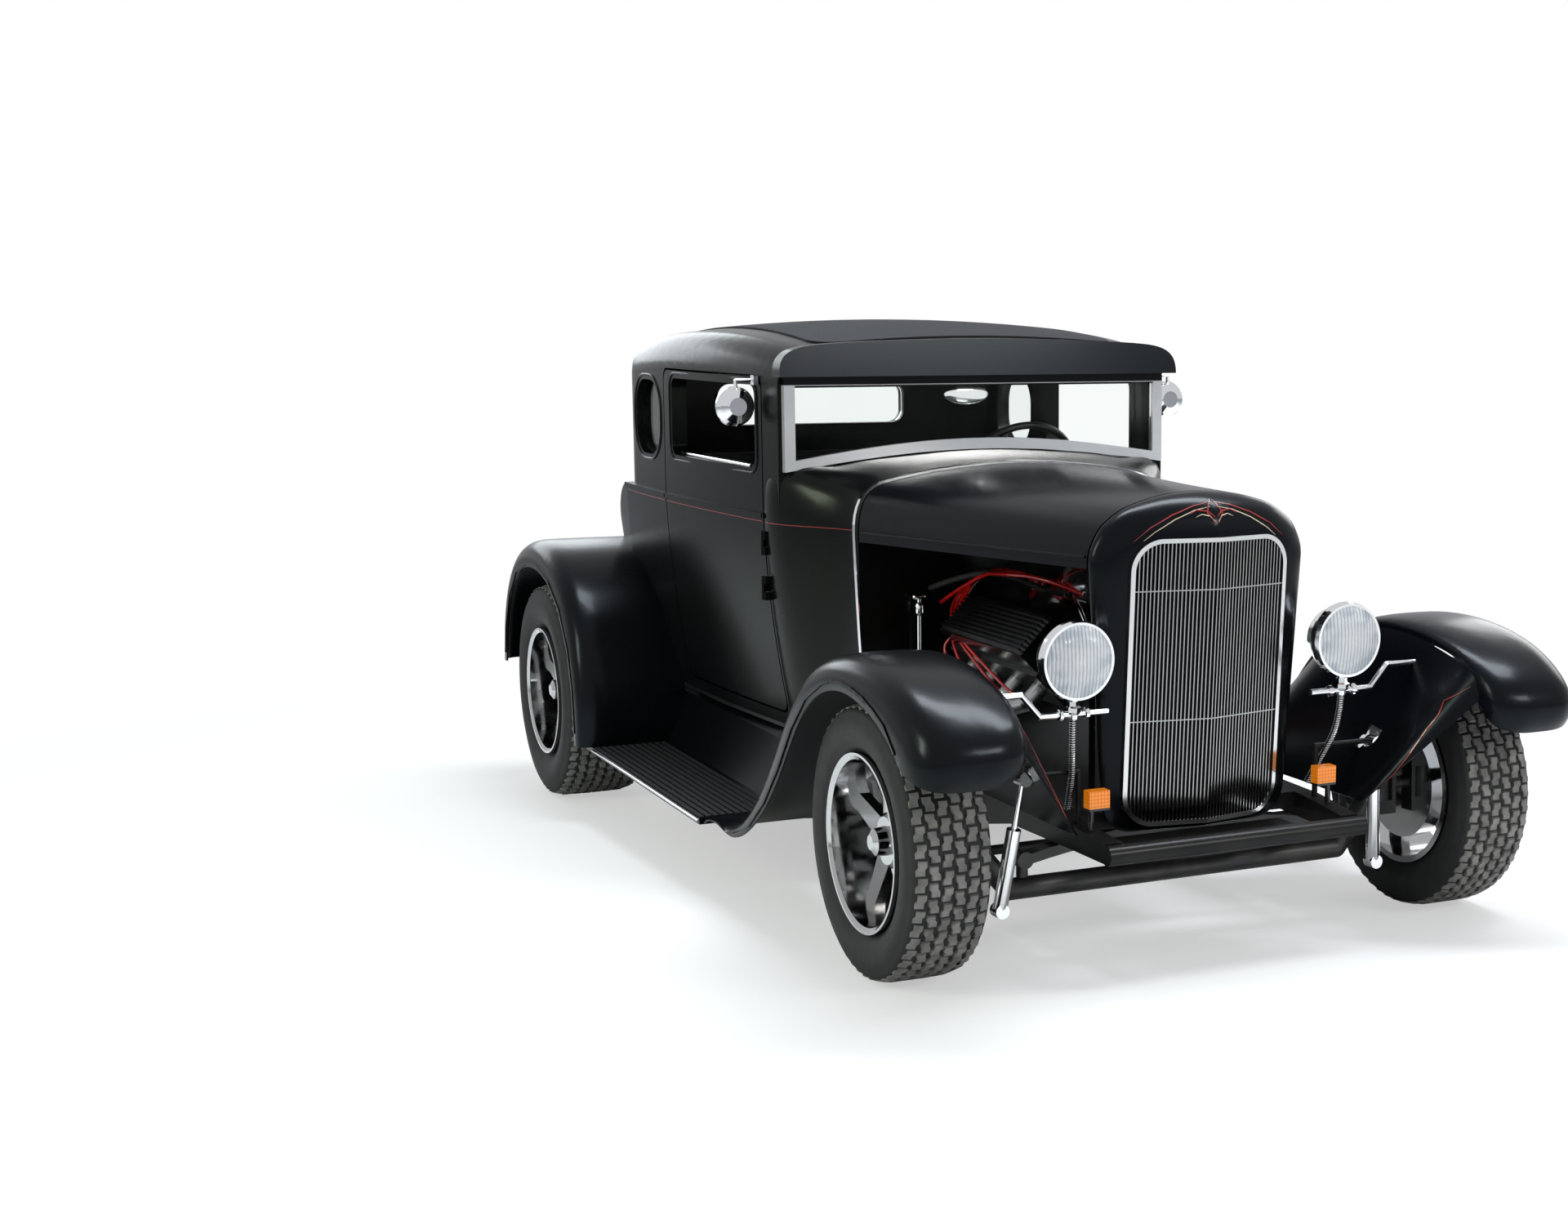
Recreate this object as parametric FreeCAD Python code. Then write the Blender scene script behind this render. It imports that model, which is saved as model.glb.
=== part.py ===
import FreeCAD, Part
import math
import os

from FreeCAD import Vector

# A chopped five-window hot rod coupe with an open engine, full fenders and a dropped front axle.
# x points to the car's left, y rearwards and z up. While a piece is modelled, y is measured from
# the front axle. The body and frame are drawn level and then raked nose down about the front hubs.

# Stance
WHEELBASE = 2629.0
FRONT_REACH = 466.0
REAR_REACH = 455.0
RAKE_DEG = 2.0
RUNNING_GAP = 0.3
SHAFT_END_GAP = 1.2
PANEL_GAP = 6.0
OVERRUN = 60.0

# Tyres and wheels
FRONT_TYRE_RADIUS = 316.0
FRONT_TYRE_WIDTH = 199.0
FRONT_TRACK_HALF = 729.0
REAR_TYRE_RADIUS = 347.0
REAR_TYRE_WIDTH = 275.0
REAR_TRACK_HALF = 750.0
RIM_RADIUS = 205.0
RIM_LIP = 9.0
RIM_WALL = 6.0
RIM_PROUD = 5.0
SPOKE_COUNT = 5
SPOKE_ROOT_WIDTH = 62.0
SPOKE_TIP_WIDTH = 44.0
SPOKE_THICKNESS = 26.0
SPOKE_INSET = 72.0
HUB_RADIUS = 64.0
HUB_CAP_RADIUS = 34.0
HUB_CAP_LENGTH = 46.0
SPINDLE_RADIUS = 16.0
SPINDLE_FIT = 0.08
BRAKE_RADIUS = 140.0
BRAKE_DEPTH = 42.0
FRONT_HUB_INNER = 648.0
REAR_HUB_INNER = 632.0
FULL_TURN = 360.0

# Front axle and steering
AXLE_TUBE_RADIUS = 26.0
AXLE_LOW_Z = 168.0
AXLE_STRAIGHT_HALF = 455.0
KINGPIN_HALF = 588.0
KINGPIN_RADIUS = 11.0
KINGPIN_BOSS_RADIUS = 24.0
KINGPIN_BOSS_HALF = 40.0
KINGPIN_HEIGHT_HALF = 74.0
KNUCKLE_EAR = 22.0
KNUCKLE_LIP = 14.0
STEERING_ARM = 150.0
STEERING_ARM_DROP = 60.0
STEERING_ARM_RADIUS = 12.0
TIE_ROD_RADIUS = 12.0
TIE_ROD_EYE_RADIUS = 19.0
TIE_ROD_EYE_HALF = 14.0
RADIUS_ROD_RADIUS = 13.0
RADIUS_ROD_END_Y = 900.0
RADIUS_ROD_END_X = 352.0
SPRING_WIDTH = 46.0
SPRING_THICKNESS = 24.0
SPRING_HALF = 420.0
SPRING_EYE_RADIUS = 20.0
SPRING_EYE_Z = 236.0
SHOCK_RADIUS = 17.0
SHOCK_ROD_RADIUS = 7.0
SHOCK_EYE_RADIUS = 17.0
SHOCK_EYE_LENGTH = 36.0
SHOCK_LOW_X = 515.0
SHOCK_LOW_Y = -77.0
SHOCK_LOW_Z = 141.0
SHOCK_HIGH_X = 478.0
SHOCK_HIGH_Y = -132.0
SHOCK_HIGH_Z = 452.0
SHOCK_BODY_SHARE = 0.62
ROD_TILT_SHARE = 0.14

# Frame
RAIL_TOP_Z = 333.0
RAIL_HEIGHT = 96.0
RAIL_WIDTH = 46.0
RAIL_FRONT_HALF = 340.0
RAIL_REAR_HALF = 400.0
RAIL_FRONT_Y = -262.0
RAIL_SPREAD_Y = 1000.0
RAIL_KICK_Y = 2215.0
RAIL_KICK_RUN = 130.0
RAIL_KICK_RISE = 92.0
RAIL_TAIL_HEIGHT = 67.2
RAIL_REAR_Y = 2870.0
RAIL_NECK_Y = 180.0
RAIL_NECK_HEIGHT = 58.0
HORN_Z = 296.0
HORN_RUN = 180.0
SPREADER_RADIUS = 23.0
SPREADER_Y = -281.0
SPREADER_HALF = 345.0
CROSSMEMBER_DEPTH = 80.0
CROSSMEMBER_HEIGHT = 40.0
CENTRE_CROSSMEMBER_Y = 1180.0
REAR_CROSSMEMBER_Y = 2760.0

# Engine and driveline
ENGINE_FRONT_Y = 150.0
ENGINE_LENGTH = 560.0
ENGINE_HALF = 165.0
ENGINE_BOTTOM_Z = 262.0
ENGINE_TOP_Z = 690.0
HEAD_TILT_DEG = 45.0
HEAD_WIDTH = 150.0
HEAD_HEIGHT = 120.0
HEAD_LENGTH = 500.0
HEAD_CENTRE_X = 200.0
HEAD_CENTRE_Z = 640.0
COVER_HEIGHT = 72.0
COVER_INSET = 12.0
COVER_FIN = 5.0
COVER_FIN_COUNT = 9
INTAKE_HALF = 95.0
INTAKE_HEIGHT = 90.0
CARB_HALF = 62.0
CARB_HEIGHT = 92.0
FILTER_RADIUS = 150.0
FILTER_HEIGHT = 68.0
PORT_COUNT = 4
HEADER_RADIUS = 21.0
HEADER_OUT = 92.0
HEADER_DROP = 190.0
GEARBOX_LENGTH = 600.0
GEARBOX_HALF = 110.0
GEARBOX_LOW_Z = 236.0
GEARBOX_HIGH_Z = 452.0
TUNNEL_CLEARANCE = 14.0
TUNNEL_TAIL_Z = 392.0
DRIVESHAFT_RADIUS = 36.0
SHAFT_Z = 330.0
DIFF_RADIUS = 128.0
REAR_AXLE_TUBE_RADIUS = 40.0
REAR_AXLE_FLANGE_RADIUS = 78.0
REAR_AXLE_FLANGE = 16.0
COILOVER_RADIUS = 44.0
COILOVER_X = 423.0
EXHAUST_RADIUS = 28.0
EXHAUST_X = 250.0
EXHAUST_Z = 196.0
MUFFLER_RADIUS = 62.0
MUFFLER_LENGTH = 480.0
MUFFLER_Y = 1420.0
EXHAUST_END_Y = 2120.0
PULLEY_RADIUS = 82.0
PULLEY_DEPTH = 44.0
PUMP_RADIUS = 60.0
FAN_RADIUS = 190.0
FAN_BLADES = 6
FAN_BLADE_WIDTH = 62.0
FAN_DEPTH = 22.0
FAN_BLADE_BACK = 13.2
FAN_BLADE_FRONT = 8.8
ALTERNATOR_RADIUS = 66.0
ALTERNATOR_LENGTH = 130.0

# Radiator, shell and grille
SHELL_REAR_Y = -71.0
SHELL_HALF = 285.0
SHELL_SHOULDER_Z = 929.0
SHELL_TOP_Z = 1086.0
SHELL_BOTTOM_Z = 289.0
SHELL_BOTTOM_HALF = 250.0
SHELL_BOTTOM_CORNER = 84.0
SHELL_WALL = 16.0
SHELL_FRONT_TOP_Y = -182.0
GRILLE_HALF = 209.0
GRILLE_TOP_Z = 986.0
GRILLE_BOTTOM_Z = 307.0
GRILLE_CORNER = 76.0
GRILLE_LEAN_DEG = 3.6
GRILLE_V_DEPTH = 40.0
GRILLE_TRIM_WIDTH = 11.0
GRILLE_TRIM_DEPTH = 26.0
GRILLE_BAR = 2.6
GRILLE_BAR_DEPTH = 12.0
GRILLE_BAR_COUNT = 41
GRILLE_CROSS_SHARES = [0.37, 0.82]
RADIATOR_HALF = 232.0
RADIATOR_DEPTH = 62.0
RADIATOR_TOP_Z = 985.0

# Hood and cowl
HOOD_GAP = 6.0
HOOD_SHEET = 9.0
HOOD_LIP = 14.0
LEDGE_SHEET = 6.0
LEDGE_REACH = 26.0
COWL_FRONT_Y = 895.0
COWL_HALF = 462.0
COWL_TOP_Z = 1087.0
COWL_SHOULDER_Z = 906.0
COWL_TUCK = 22.0
BELT_Z = 941.0
BODY_BOTTOM_Z = 345.0
BODY_WALL = 46.0
SIDE_BULGE_SHARE = 0.32
COWL_WALL = 18.0
SCREEN_Y = 1143.0
SCREEN_BASE_Z = 1111.0
FIREWALL_THICKNESS = 14.0

# Body sides, seen from above as one long arc
SIDE_MAX_HALF = 646.0
SIDE_MAX_Y = 2080.0
SIDE_ARC_RADIUS = 7706.0
BODY_TUCK = 74.0
CAB_CORNER_Y = 2300.0
CAB_REAR_Y = 2502.0
CAB_REAR_BULGE = 14.0
TAIL_START_Y = 2440.0
TAIL_END_Y = 2934.0
TAIL_END_HALF = 430.0
TAIL_CORNER = 92.0
TAIL_END_Z = 520.0
BEAD_PROUD = 6.0
BEAD_HEIGHT = 11.0
BEAD_RISE = 3.0

# Roof, seen from the side as part of one great sphere
ROOF_TOP_Z = 1459.0
ROOF_TOP_Y = 1790.0
ROOF_RADIUS = 4900.0
ROOF_SHOULDER = 104.0
ROOF_WALL = 26.0
ROOF_INSERT_HALF = 462.0
ROOF_INSERT_FRONT_Y = 1172.0
ROOF_INSERT_REAR_Y = 2270.0
ROOF_INSERT_CORNER = 90.0
ROOF_INSERT_SHEET = 4.0
VISOR_REACH = 42.0
VISOR_SLOPE = 18.0
VISOR_BOTTOM_Z = 1317.0
VISOR_SHEET = 9.0
VISOR_SIDE = 14.0

# Doors, windows and lid
DOOR_FRONT_Y = 1238.0
DOOR_REAR_Y = 1990.0
DOOR_BOTTOM_Z = 380.0
DOOR_TOP_Z = 1318.0
DOOR_CORNER = 34.0
WINDOW_FRONT_Y = 1286.0
WINDOW_REAR_Y = 1914.0
WINDOW_BOTTOM_Z = 1064.0
WINDOW_TOP_Z = 1290.0
WINDOW_CORNER = 30.0
QUARTER_FRONT_Y = 2032.0
QUARTER_REAR_Y = 2282.0
QUARTER_BOTTOM_Z = 1052.0
QUARTER_TOP_Z = 1278.0
QUARTER_CORNER = 92.0
REAR_WINDOW_HALF = 326.0
REAR_WINDOW_BOTTOM_Z = 1115.0
REAR_WINDOW_TOP_Z = 1249.0
REAR_WINDOW_CORNER = 42.0
GLASS_SHEET = 6.0
SCREEN_TOP_Z = 1322.0
SCREEN_FRAME_DEPTH = 22.0
SCREEN_RAIL = 36.0
SCREEN_POST = 30.0
SCREEN_FRAME_HALF = 578.0
LID_HINGE_RADIUS = 8.0
HINGE_RADIUS = 5.0
HINGE_LENGTH = 22.0
HINGE_PROUD = 6.0
HINGE_HEIGHTS = [728.0, 852.0]
HINGE_REACH = 62.0
LID_FRONT_Y = 2560.0
LID_HALF = 350.0
LID_BOTTOM_Z = 470.0
LID_CORNER = 60.0
LID_HINGE_Z = 931.0
LID_HINGE_X = 210.0
LID_KNUCKLE = 32.0
PIN_CLEARANCE = 1.0
MIRROR_RADIUS = 53.5
MIRROR_DEPTH = 34.0
MIRROR_CROWN_SHARE = 0.45
MIRROR_SHOULDER_SHARE = 0.85
MIRROR_X = 669.0
MIRROR_Y = 1246.0
MIRROR_Z = 1234.0
MIRROR_ARM_RADIUS = 5.0
MIRROR_CLAMP = 26.0

# Fenders and running boards
FENDER_SHEET = 5.0
FRONT_FENDER_START_Y = -452.0
FRONT_FENDER_LENGTH = 1461.0
FRONT_FENDER_HEIGHT = 741.0
REAR_FENDER_START_Y = 2086.0
REAR_FENDER_LENGTH = 994.0
REAR_FENDER_HEIGHT = 740.0
APRON_STATIONS = 9
APRON_SHARES = (0.0, 0.5, 1.0)
FRONT_FENDER_LIP_X = 858.0
FRONT_FENDER_CROWN_X = 735.0
FRONT_FENDER_INNER_X = 606.0
REAR_FENDER_LIP_X = 902.0
REAR_FENDER_CROWN_X = 806.0
REAR_FENDER_INNER_X = 520.0
REAR_WELL_RADIUS = 400.0
REAR_WELL_X = 560.0
REAR_WELL_WALL = 10.0
APRON_FOOT_X = 388.0
APRON_CLEARANCE = 9.0
APRON_SLOT_SHARE = 0.12
BOARD_TOP_Z = 165.0
BOARD_THICKNESS = 16.0
BOARD_OUTER_X = 872.0
BOARD_INNER_X = 632.0
BOARD_FRONT_Y = 1014.0
BOARD_REAR_Y = 2138.0
BOARD_LIP = 10.0
SPLASH_ROLL_X = 566.0
SPLASH_ROLL_Z = 300.0
SPLASH_TOP_X = 512.0
HANGER_WIDTH = 30.0
BOARD_HANGER_SHARES = [0.12, 0.85]

# Lamps
LAMP_X = 363.0
LAMP_Y = -168.0
LAMP_Z = 723.0
LAMP_RADIUS = 91.0
LAMP_RIM_DEPTH = 26.0
LAMP_BOWL_DEPTH = 112.0
LAMP_BOWL_SHARES = [(0.62, 0.74), (0.88, 0.42)]
LAMP_BAR_DROP = 33.0
LAMP_BAR_INNER_X = 275.4
LAMP_BAR_BEND_X = 446.2
LAMP_BAR_RISE_X = 493.0
LAMP_BAR_OUTER_X = 576.0
LENS_RADIUS = 82.0
LENS_CROWN = 12.0
LENS_CROWN_SHARES = [(0.6, 0.66), (1.0, 0.25), (1.0, 0.0)]
LAMP_BAR_RADIUS = 7.5
LAMP_STEM_RADIUS = 11.0
LAMP_BAR_Y = -150.0
LAMP_BAR_END_Z = 652.0
SIGNAL_WIDTH = 52.0
SIGNAL_HEIGHT = 46.0
SIGNAL_DEPTH = 30.0
SIGNAL_X = 308.0
SIGNAL_Y = -178.0
SIGNAL_Z = 398.0
TAIL_LAMP_Y = 2992.0
TAIL_LAMP_Z = 560.0
TAIL_LAMP_RADIUS = 42.0
TAIL_LAMP_DEPTH = 38.0
TAIL_LAMP_REACH_SHARE = 2.4

# Cabin
FLOOR_SHEET = 12.0
FLOOR_STEP_Y = 2215.0
FLOOR_STEP_Z = 436.0
SEAT_HALF = 505.0
SEAT_FRONT_Y = 1700.0
SEAT_DEPTH = 470.0
SEAT_CUSHION_Z = 560.0
SEAT_BACK_THICKNESS = 130.0
SEAT_BACK_Z = 1010.0
SEAT_BACK_LEAN = 70.0
SEAT_ROUND = 36.0
DASH_HALF = 520.0
DASH_DEPTH = 60.0
DASH_HEIGHT = 120.0
DASH_BACK_HEIGHT = 168.0
WHEEL_X = 290.0
WHEEL_Y = 1500.0
WHEEL_Z = 1004.0
WHEEL_RIM_RADIUS = 180.0
WHEEL_GRIP_RADIUS = 11.0
WHEEL_SPOKE_RADIUS = 6.6
WHEEL_SPOKES = 3
WHEEL_HUB_RADIUS = 30.0
WHEEL_HUB_LENGTH = 40.0
COLUMN_ANGLE_DEG = 32.0
COLUMN_RADIUS = 19.0
COLUMN_LENGTH = 560.0

# Worked-out places
REAR_AXLE_Y = WHEELBASE
LENGTH = FRONT_REACH + WHEELBASE + REAR_REACH
FRONT_AXLE_Y = FRONT_REACH - LENGTH / 2
RAKE_PIVOT = Vector(0, 0, FRONT_TYRE_RADIUS)
X_AXIS = Vector(1, 0, 0)
Y_AXIS = Vector(0, 1, 0)
Z_AXIS = Vector(0, 0, 1)
ORIGIN = Vector(0, 0, 0)
STEP = math.sin(math.radians(RAKE_DEG))


def park(shape):
    """Moves a shape that is drawn about the front axle to its place about the car's middle."""
    moved = shape.copy()
    moved.translate(Vector(0, FRONT_AXLE_Y, 0))
    return moved


def rake(shape):
    """Tips a level body or frame shape nose down, then places it."""
    tipped = shape.copy()
    tipped.rotate(RAKE_PIVOT, X_AXIS, RAKE_DEG)
    return park(tipped)


def unraked(point):
    """Where a point on the road lies in the level body drawing."""
    turn = FreeCAD.Rotation(X_AXIS, -RAKE_DEG)
    return turn.multVec(point.sub(RAKE_PIVOT)).add(RAKE_PIVOT)


def mirrored(shape):
    return shape.mirror(ORIGIN, X_AXIS)


def pair(shape):
    return [shape, mirrored(shape)]


def fused(shapes):
    whole = shapes[0]
    if len(shapes) > 1:
        whole = whole.fuse(shapes[1:])
    return whole.removeSplitter()


def block(low, high):
    size = high.sub(low)
    return Part.makeBox(size.x, size.y, size.z, low)


def rod(start, end, radius):
    run = end.sub(start)
    return Part.makeCylinder(radius, run.Length, start, run)


def bent_tube(points, radius):
    pieces = [rod(a, b, radius) for a, b in zip(points, points[1:])]
    pieces += [Part.makeSphere(radius, point) for point in points[1:-1]]
    return fused(pieces)


def prism(points, run):
    """A flat polygon moved along a run."""
    return Part.Face(Part.makePolygon(points + points[:1])).extrude(run)


def spun_about_x(profile, centre):
    """A solid turned about the x line through centre, from (x, radius) points."""
    points = [Vector(x, 0, radius) for x, radius in profile]
    face = Part.Face(Part.makePolygon(points + points[:1]))
    solid = face.revolve(ORIGIN, X_AXIS, FULL_TURN)
    solid.translate(centre)
    return solid


def spun_about_y(profile, centre):
    """A solid turned about the y line through centre, from (y, radius) points."""
    points = [Vector(0, y, radius) for y, radius in profile]
    face = Part.Face(Part.makePolygon(points + points[:1]))
    solid = face.revolve(ORIGIN, Y_AXIS, FULL_TURN)
    solid.translate(centre)
    return solid


def spline(points, shares=None):
    """A smooth curve through points; sections of one loft share the same spacing along it."""
    if shares is None and len(points) == 3:
        shares = [0.0, 0.5, 1.0]
    curve = Part.BSplineCurve()
    if shares is None:
        curve.interpolate(points)
    else:
        curve.interpolate(Points=points, Parameters=shares)
    return curve.toShape()


def chord_shares(points):
    """How far along a row each of its points lies, from 0 to 1."""
    runs = [0.0]
    for start, end in zip(points, points[1:]):
        runs.append(runs[-1] + end.sub(start).Length)
    return [run / runs[-1] for run in runs]


def line(start, end):
    return Part.LineSegment(start, end).toShape()


def arc(start, middle, end):
    return Part.Arc(start, middle, end).toShape()


def rounded_plate(low, high, corner, axis):
    """A plate with rounded corners between two opposite points, cut square to one axis."""
    plate = block(low, high)
    edges = []
    for edge in plate.Edges:
        run = edge.Vertexes[1].Point.sub(edge.Vertexes[0].Point)
        if run.cross(axis).Length < RUNNING_GAP:
            edges.append(edge)
    return plate.makeFillet(corner, edges)


def grid_normals(grid):
    last = len(grid) - 1
    normals = []
    for i, row in enumerate(grid):
        end = len(row) - 1
        normals.append([])
        for j in range(len(row)):
            along = grid[min(i + 1, last)][j].sub(grid[max(i - 1, 0)][j])
            across = row[min(j + 1, end)].sub(row[max(j - 1, 0)])
            normals[-1].append(along.cross(across).normalize())
    return normals


def sheet(grid, thickness):
    """A curved metal sheet through a grid of points, with its thickness on the inner side."""
    wires = []
    caps = []
    last = len(grid) - 1
    shares = chord_shares(grid[last // 2])
    back_shares = [1 - share for share in shares[::-1]]
    for index, (row, normals) in enumerate(zip(grid, grid_normals(grid))):
        inner = [p.add(n.multiply(thickness)) for p, n in zip(row, normals)]
        edges = [
            spline(row, shares),
            line(row[-1], inner[-1]),
            spline(inner[::-1], back_shares),
            line(inner[0], row[0]),
        ]
        wires.append(Part.Wire(edges))
        if index in (0, last):
            caps.append(Part.makeRuledSurface(spline(row, shares), spline(inner, shares)))
    skin = Part.makeLoft(wires, False, False)
    faces = skin.Faces
    for cap in caps:
        faces += cap.Faces
    shell = Part.makeShell(faces)
    shell.sewShape()
    return Part.makeSolid(shell)


# Wheels and tyres

TYRE_SHARES = [
    (-0.40, 0.0),
    (-0.40, 0.10),
    (-0.47, 0.22),
    (-0.50, 0.48),
    (-0.485, 0.74),
    (-0.445, 0.93),
    (-0.36, 0.99),
    (0.0, 1.0),
    (0.36, 0.99),
    (0.445, 0.93),
    (0.485, 0.74),
    (0.50, 0.48),
    (0.47, 0.22),
    (0.40, 0.10),
    (0.40, 0.0),
]


def tyre(centre, radius, width):
    bead = RIM_RADIUS - RIM_LIP + RUNNING_GAP
    rise = radius - bead
    profile = [(width * across, bead + rise * up) for across, up in TYRE_SHARES]
    return spun_about_x(profile, centre)


def spoke(root_radius, tip_radius):
    points = [
        Vector(0, -SPOKE_ROOT_WIDTH / 2, root_radius),
        Vector(0, SPOKE_ROOT_WIDTH / 2, root_radius),
        Vector(0, SPOKE_TIP_WIDTH / 2, tip_radius),
        Vector(0, -SPOKE_TIP_WIDTH / 2, tip_radius),
    ]
    return prism(points, Vector(SPOKE_THICKNESS, 0, 0))


def wheel(side, hub_inner, track_half, tyre_width):
    """Rim, spokes, hub and brake of one wheel, drawn on the car's left and mirrored for side -1."""
    outer = track_half + tyre_width / 2 - RIM_PROUD
    inner = track_half - tyre_width * abs(TYRE_SHARES[0][0]) - RUNNING_GAP
    seat = RIM_RADIUS - RIM_LIP
    well = seat - RIM_WALL
    rim = spun_about_x(
        [
            (inner, seat),
            (inner, RIM_RADIUS),
            (inner - RIM_WALL, RIM_RADIUS),
            (inner - RIM_WALL, well),
            (outer - RIM_WALL, well),
            (outer, RIM_RADIUS - RIM_WALL),
            (outer, RIM_RADIUS),
            (outer - RIM_WALL, RIM_RADIUS),
            (outer - RIM_LIP, RIM_RADIUS),
            (outer - RIM_LIP, seat),
        ],
        ORIGIN,
    )
    spoke_x = outer - SPOKE_INSET
    pieces = [rim]
    for index in range(SPOKE_COUNT):
        one = spoke(HUB_RADIUS / 2, well + RIM_WALL / 2)
        one.translate(Vector(spoke_x - SPOKE_THICKNESS, 0, 0))
        one.rotate(ORIGIN, X_AXIS, FULL_TURN / SPOKE_COUNT * index)
        pieces.append(one)
    hub = spun_about_x(
        [
            (hub_inner, 0),
            (hub_inner, BRAKE_RADIUS),
            (hub_inner + BRAKE_DEPTH, BRAKE_RADIUS),
            (hub_inner + BRAKE_DEPTH, HUB_RADIUS),
            (spoke_x, HUB_RADIUS),
            (spoke_x + RIM_LIP, HUB_RADIUS - RIM_LIP),
            (spoke_x + RIM_LIP, HUB_CAP_RADIUS),
            (spoke_x + HUB_CAP_LENGTH - RIM_LIP, HUB_CAP_RADIUS - RIM_WALL / 2),
            (spoke_x + HUB_CAP_LENGTH, HUB_CAP_RADIUS / 2),
            (spoke_x + HUB_CAP_LENGTH, 0),
        ],
        ORIGIN,
    )
    bore_end = Vector(spindle_end(hub_inner) + RUNNING_GAP, 0, 0)
    bore = rod(Vector(hub_inner - OVERRUN, 0, 0), bore_end, SPINDLE_RADIUS + SPINDLE_FIT)
    whole = fused(pieces + [hub]).cut(bore)
    if side < 0:
        whole = mirrored(whole)
    return whole


def spindle_end(hub_inner):
    return hub_inner + BRAKE_DEPTH


# Front axle and steering


def front_axle():
    top = FRONT_TYRE_RADIUS
    points = [
        Vector(-KINGPIN_HALF + KINGPIN_BOSS_RADIUS / 2, 0, top),
        Vector(-AXLE_STRAIGHT_HALF, 0, AXLE_LOW_Z),
        Vector(AXLE_STRAIGHT_HALF, 0, AXLE_LOW_Z),
        Vector(KINGPIN_HALF - KINGPIN_BOSS_RADIUS / 2, 0, top),
    ]
    pieces = [bent_tube(points, AXLE_TUBE_RADIUS)]
    for x in (-KINGPIN_HALF, KINGPIN_HALF):
        low = Vector(x, 0, top - KINGPIN_BOSS_HALF)
        high = Vector(x, 0, top + KINGPIN_BOSS_HALF)
        pieces.append(rod(low, high, KINGPIN_BOSS_RADIUS))
    axle = fused(pieces)
    for x in (-KINGPIN_HALF, KINGPIN_HALF):
        low = Vector(x, 0, top - KINGPIN_HEIGHT_HALF)
        high = Vector(x, 0, top + KINGPIN_HEIGHT_HALF)
        axle = axle.cut(rod(low, high, KINGPIN_RADIUS + SPINDLE_FIT))
        for end in (-KINGPIN_HEIGHT_HALF, KINGPIN_HEIGHT_HALF):
            ear = rod(
                Vector(x, 0, top + math.copysign(KINGPIN_BOSS_HALF, end)),
                Vector(x, 0, top + end),
                math.hypot(KNUCKLE_LIP, KNUCKLE_EAR) + PIN_CLEARANCE,
            )
            axle = axle.cut(ear)
    return axle


def knuckle():
    """The left steering knuckle: two ears on the kingpin, the spindle and the arm."""
    top = FRONT_TYRE_RADIUS
    inner_x = KINGPIN_HALF + KINGPIN_BOSS_RADIUS + RUNNING_GAP * 2
    back_x = inner_x + KNUCKLE_EAR / 2
    low_z = top - KINGPIN_HEIGHT_HALF
    high_z = top + KINGPIN_HEIGHT_HALF
    inside = KINGPIN_BOSS_HALF + RUNNING_GAP
    plate = block(Vector(inner_x, -KNUCKLE_EAR, low_z), Vector(back_x, KNUCKLE_EAR, high_z))
    pieces = [plate, rod(Vector(KINGPIN_HALF, 0, low_z), Vector(KINGPIN_HALF, 0, high_z), KINGPIN_RADIUS)]
    for near, far in ((top + inside, high_z), (low_z, top - inside)):
        pieces.append(
            block(Vector(KINGPIN_HALF - KNUCKLE_LIP, -KNUCKLE_EAR, near), Vector(back_x, KNUCKLE_EAR, far))
        )
    pieces.append(
        rod(Vector(inner_x, 0, top), Vector(spindle_end(FRONT_HUB_INNER), 0, top), SPINDLE_RADIUS)
    )
    arm_z = top - STEERING_ARM_DROP
    ball = Vector(KINGPIN_HALF, STEERING_ARM, arm_z)
    pieces.append(rod(Vector(KINGPIN_HALF, 0, arm_z), ball, STEERING_ARM_RADIUS))
    eye_half = Vector(0, 0, STEERING_ARM_RADIUS + RUNNING_GAP)
    pieces.append(rod(ball.sub(eye_half), ball.add(eye_half), TIE_ROD_EYE_RADIUS))
    return fused(pieces)


def tie_rod_z():
    """The tie rod hangs just below the steering arms' ends."""
    arm_z = FRONT_TYRE_RADIUS - STEERING_ARM_DROP
    return arm_z - STEERING_ARM_RADIUS - RUNNING_GAP * 2 - TIE_ROD_EYE_HALF


def tie_rod():
    z = tie_rod_z()
    left = Vector(KINGPIN_HALF, STEERING_ARM, z)
    right = Vector(-KINGPIN_HALF, STEERING_ARM, z)
    half = Vector(0, 0, TIE_ROD_EYE_HALF)
    pieces = [rod(left, right, TIE_ROD_RADIUS)]
    for end in (left, right):
        pieces.append(rod(end.sub(half), end.add(half), TIE_ROD_EYE_RADIUS))
    return fused(pieces)


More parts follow.
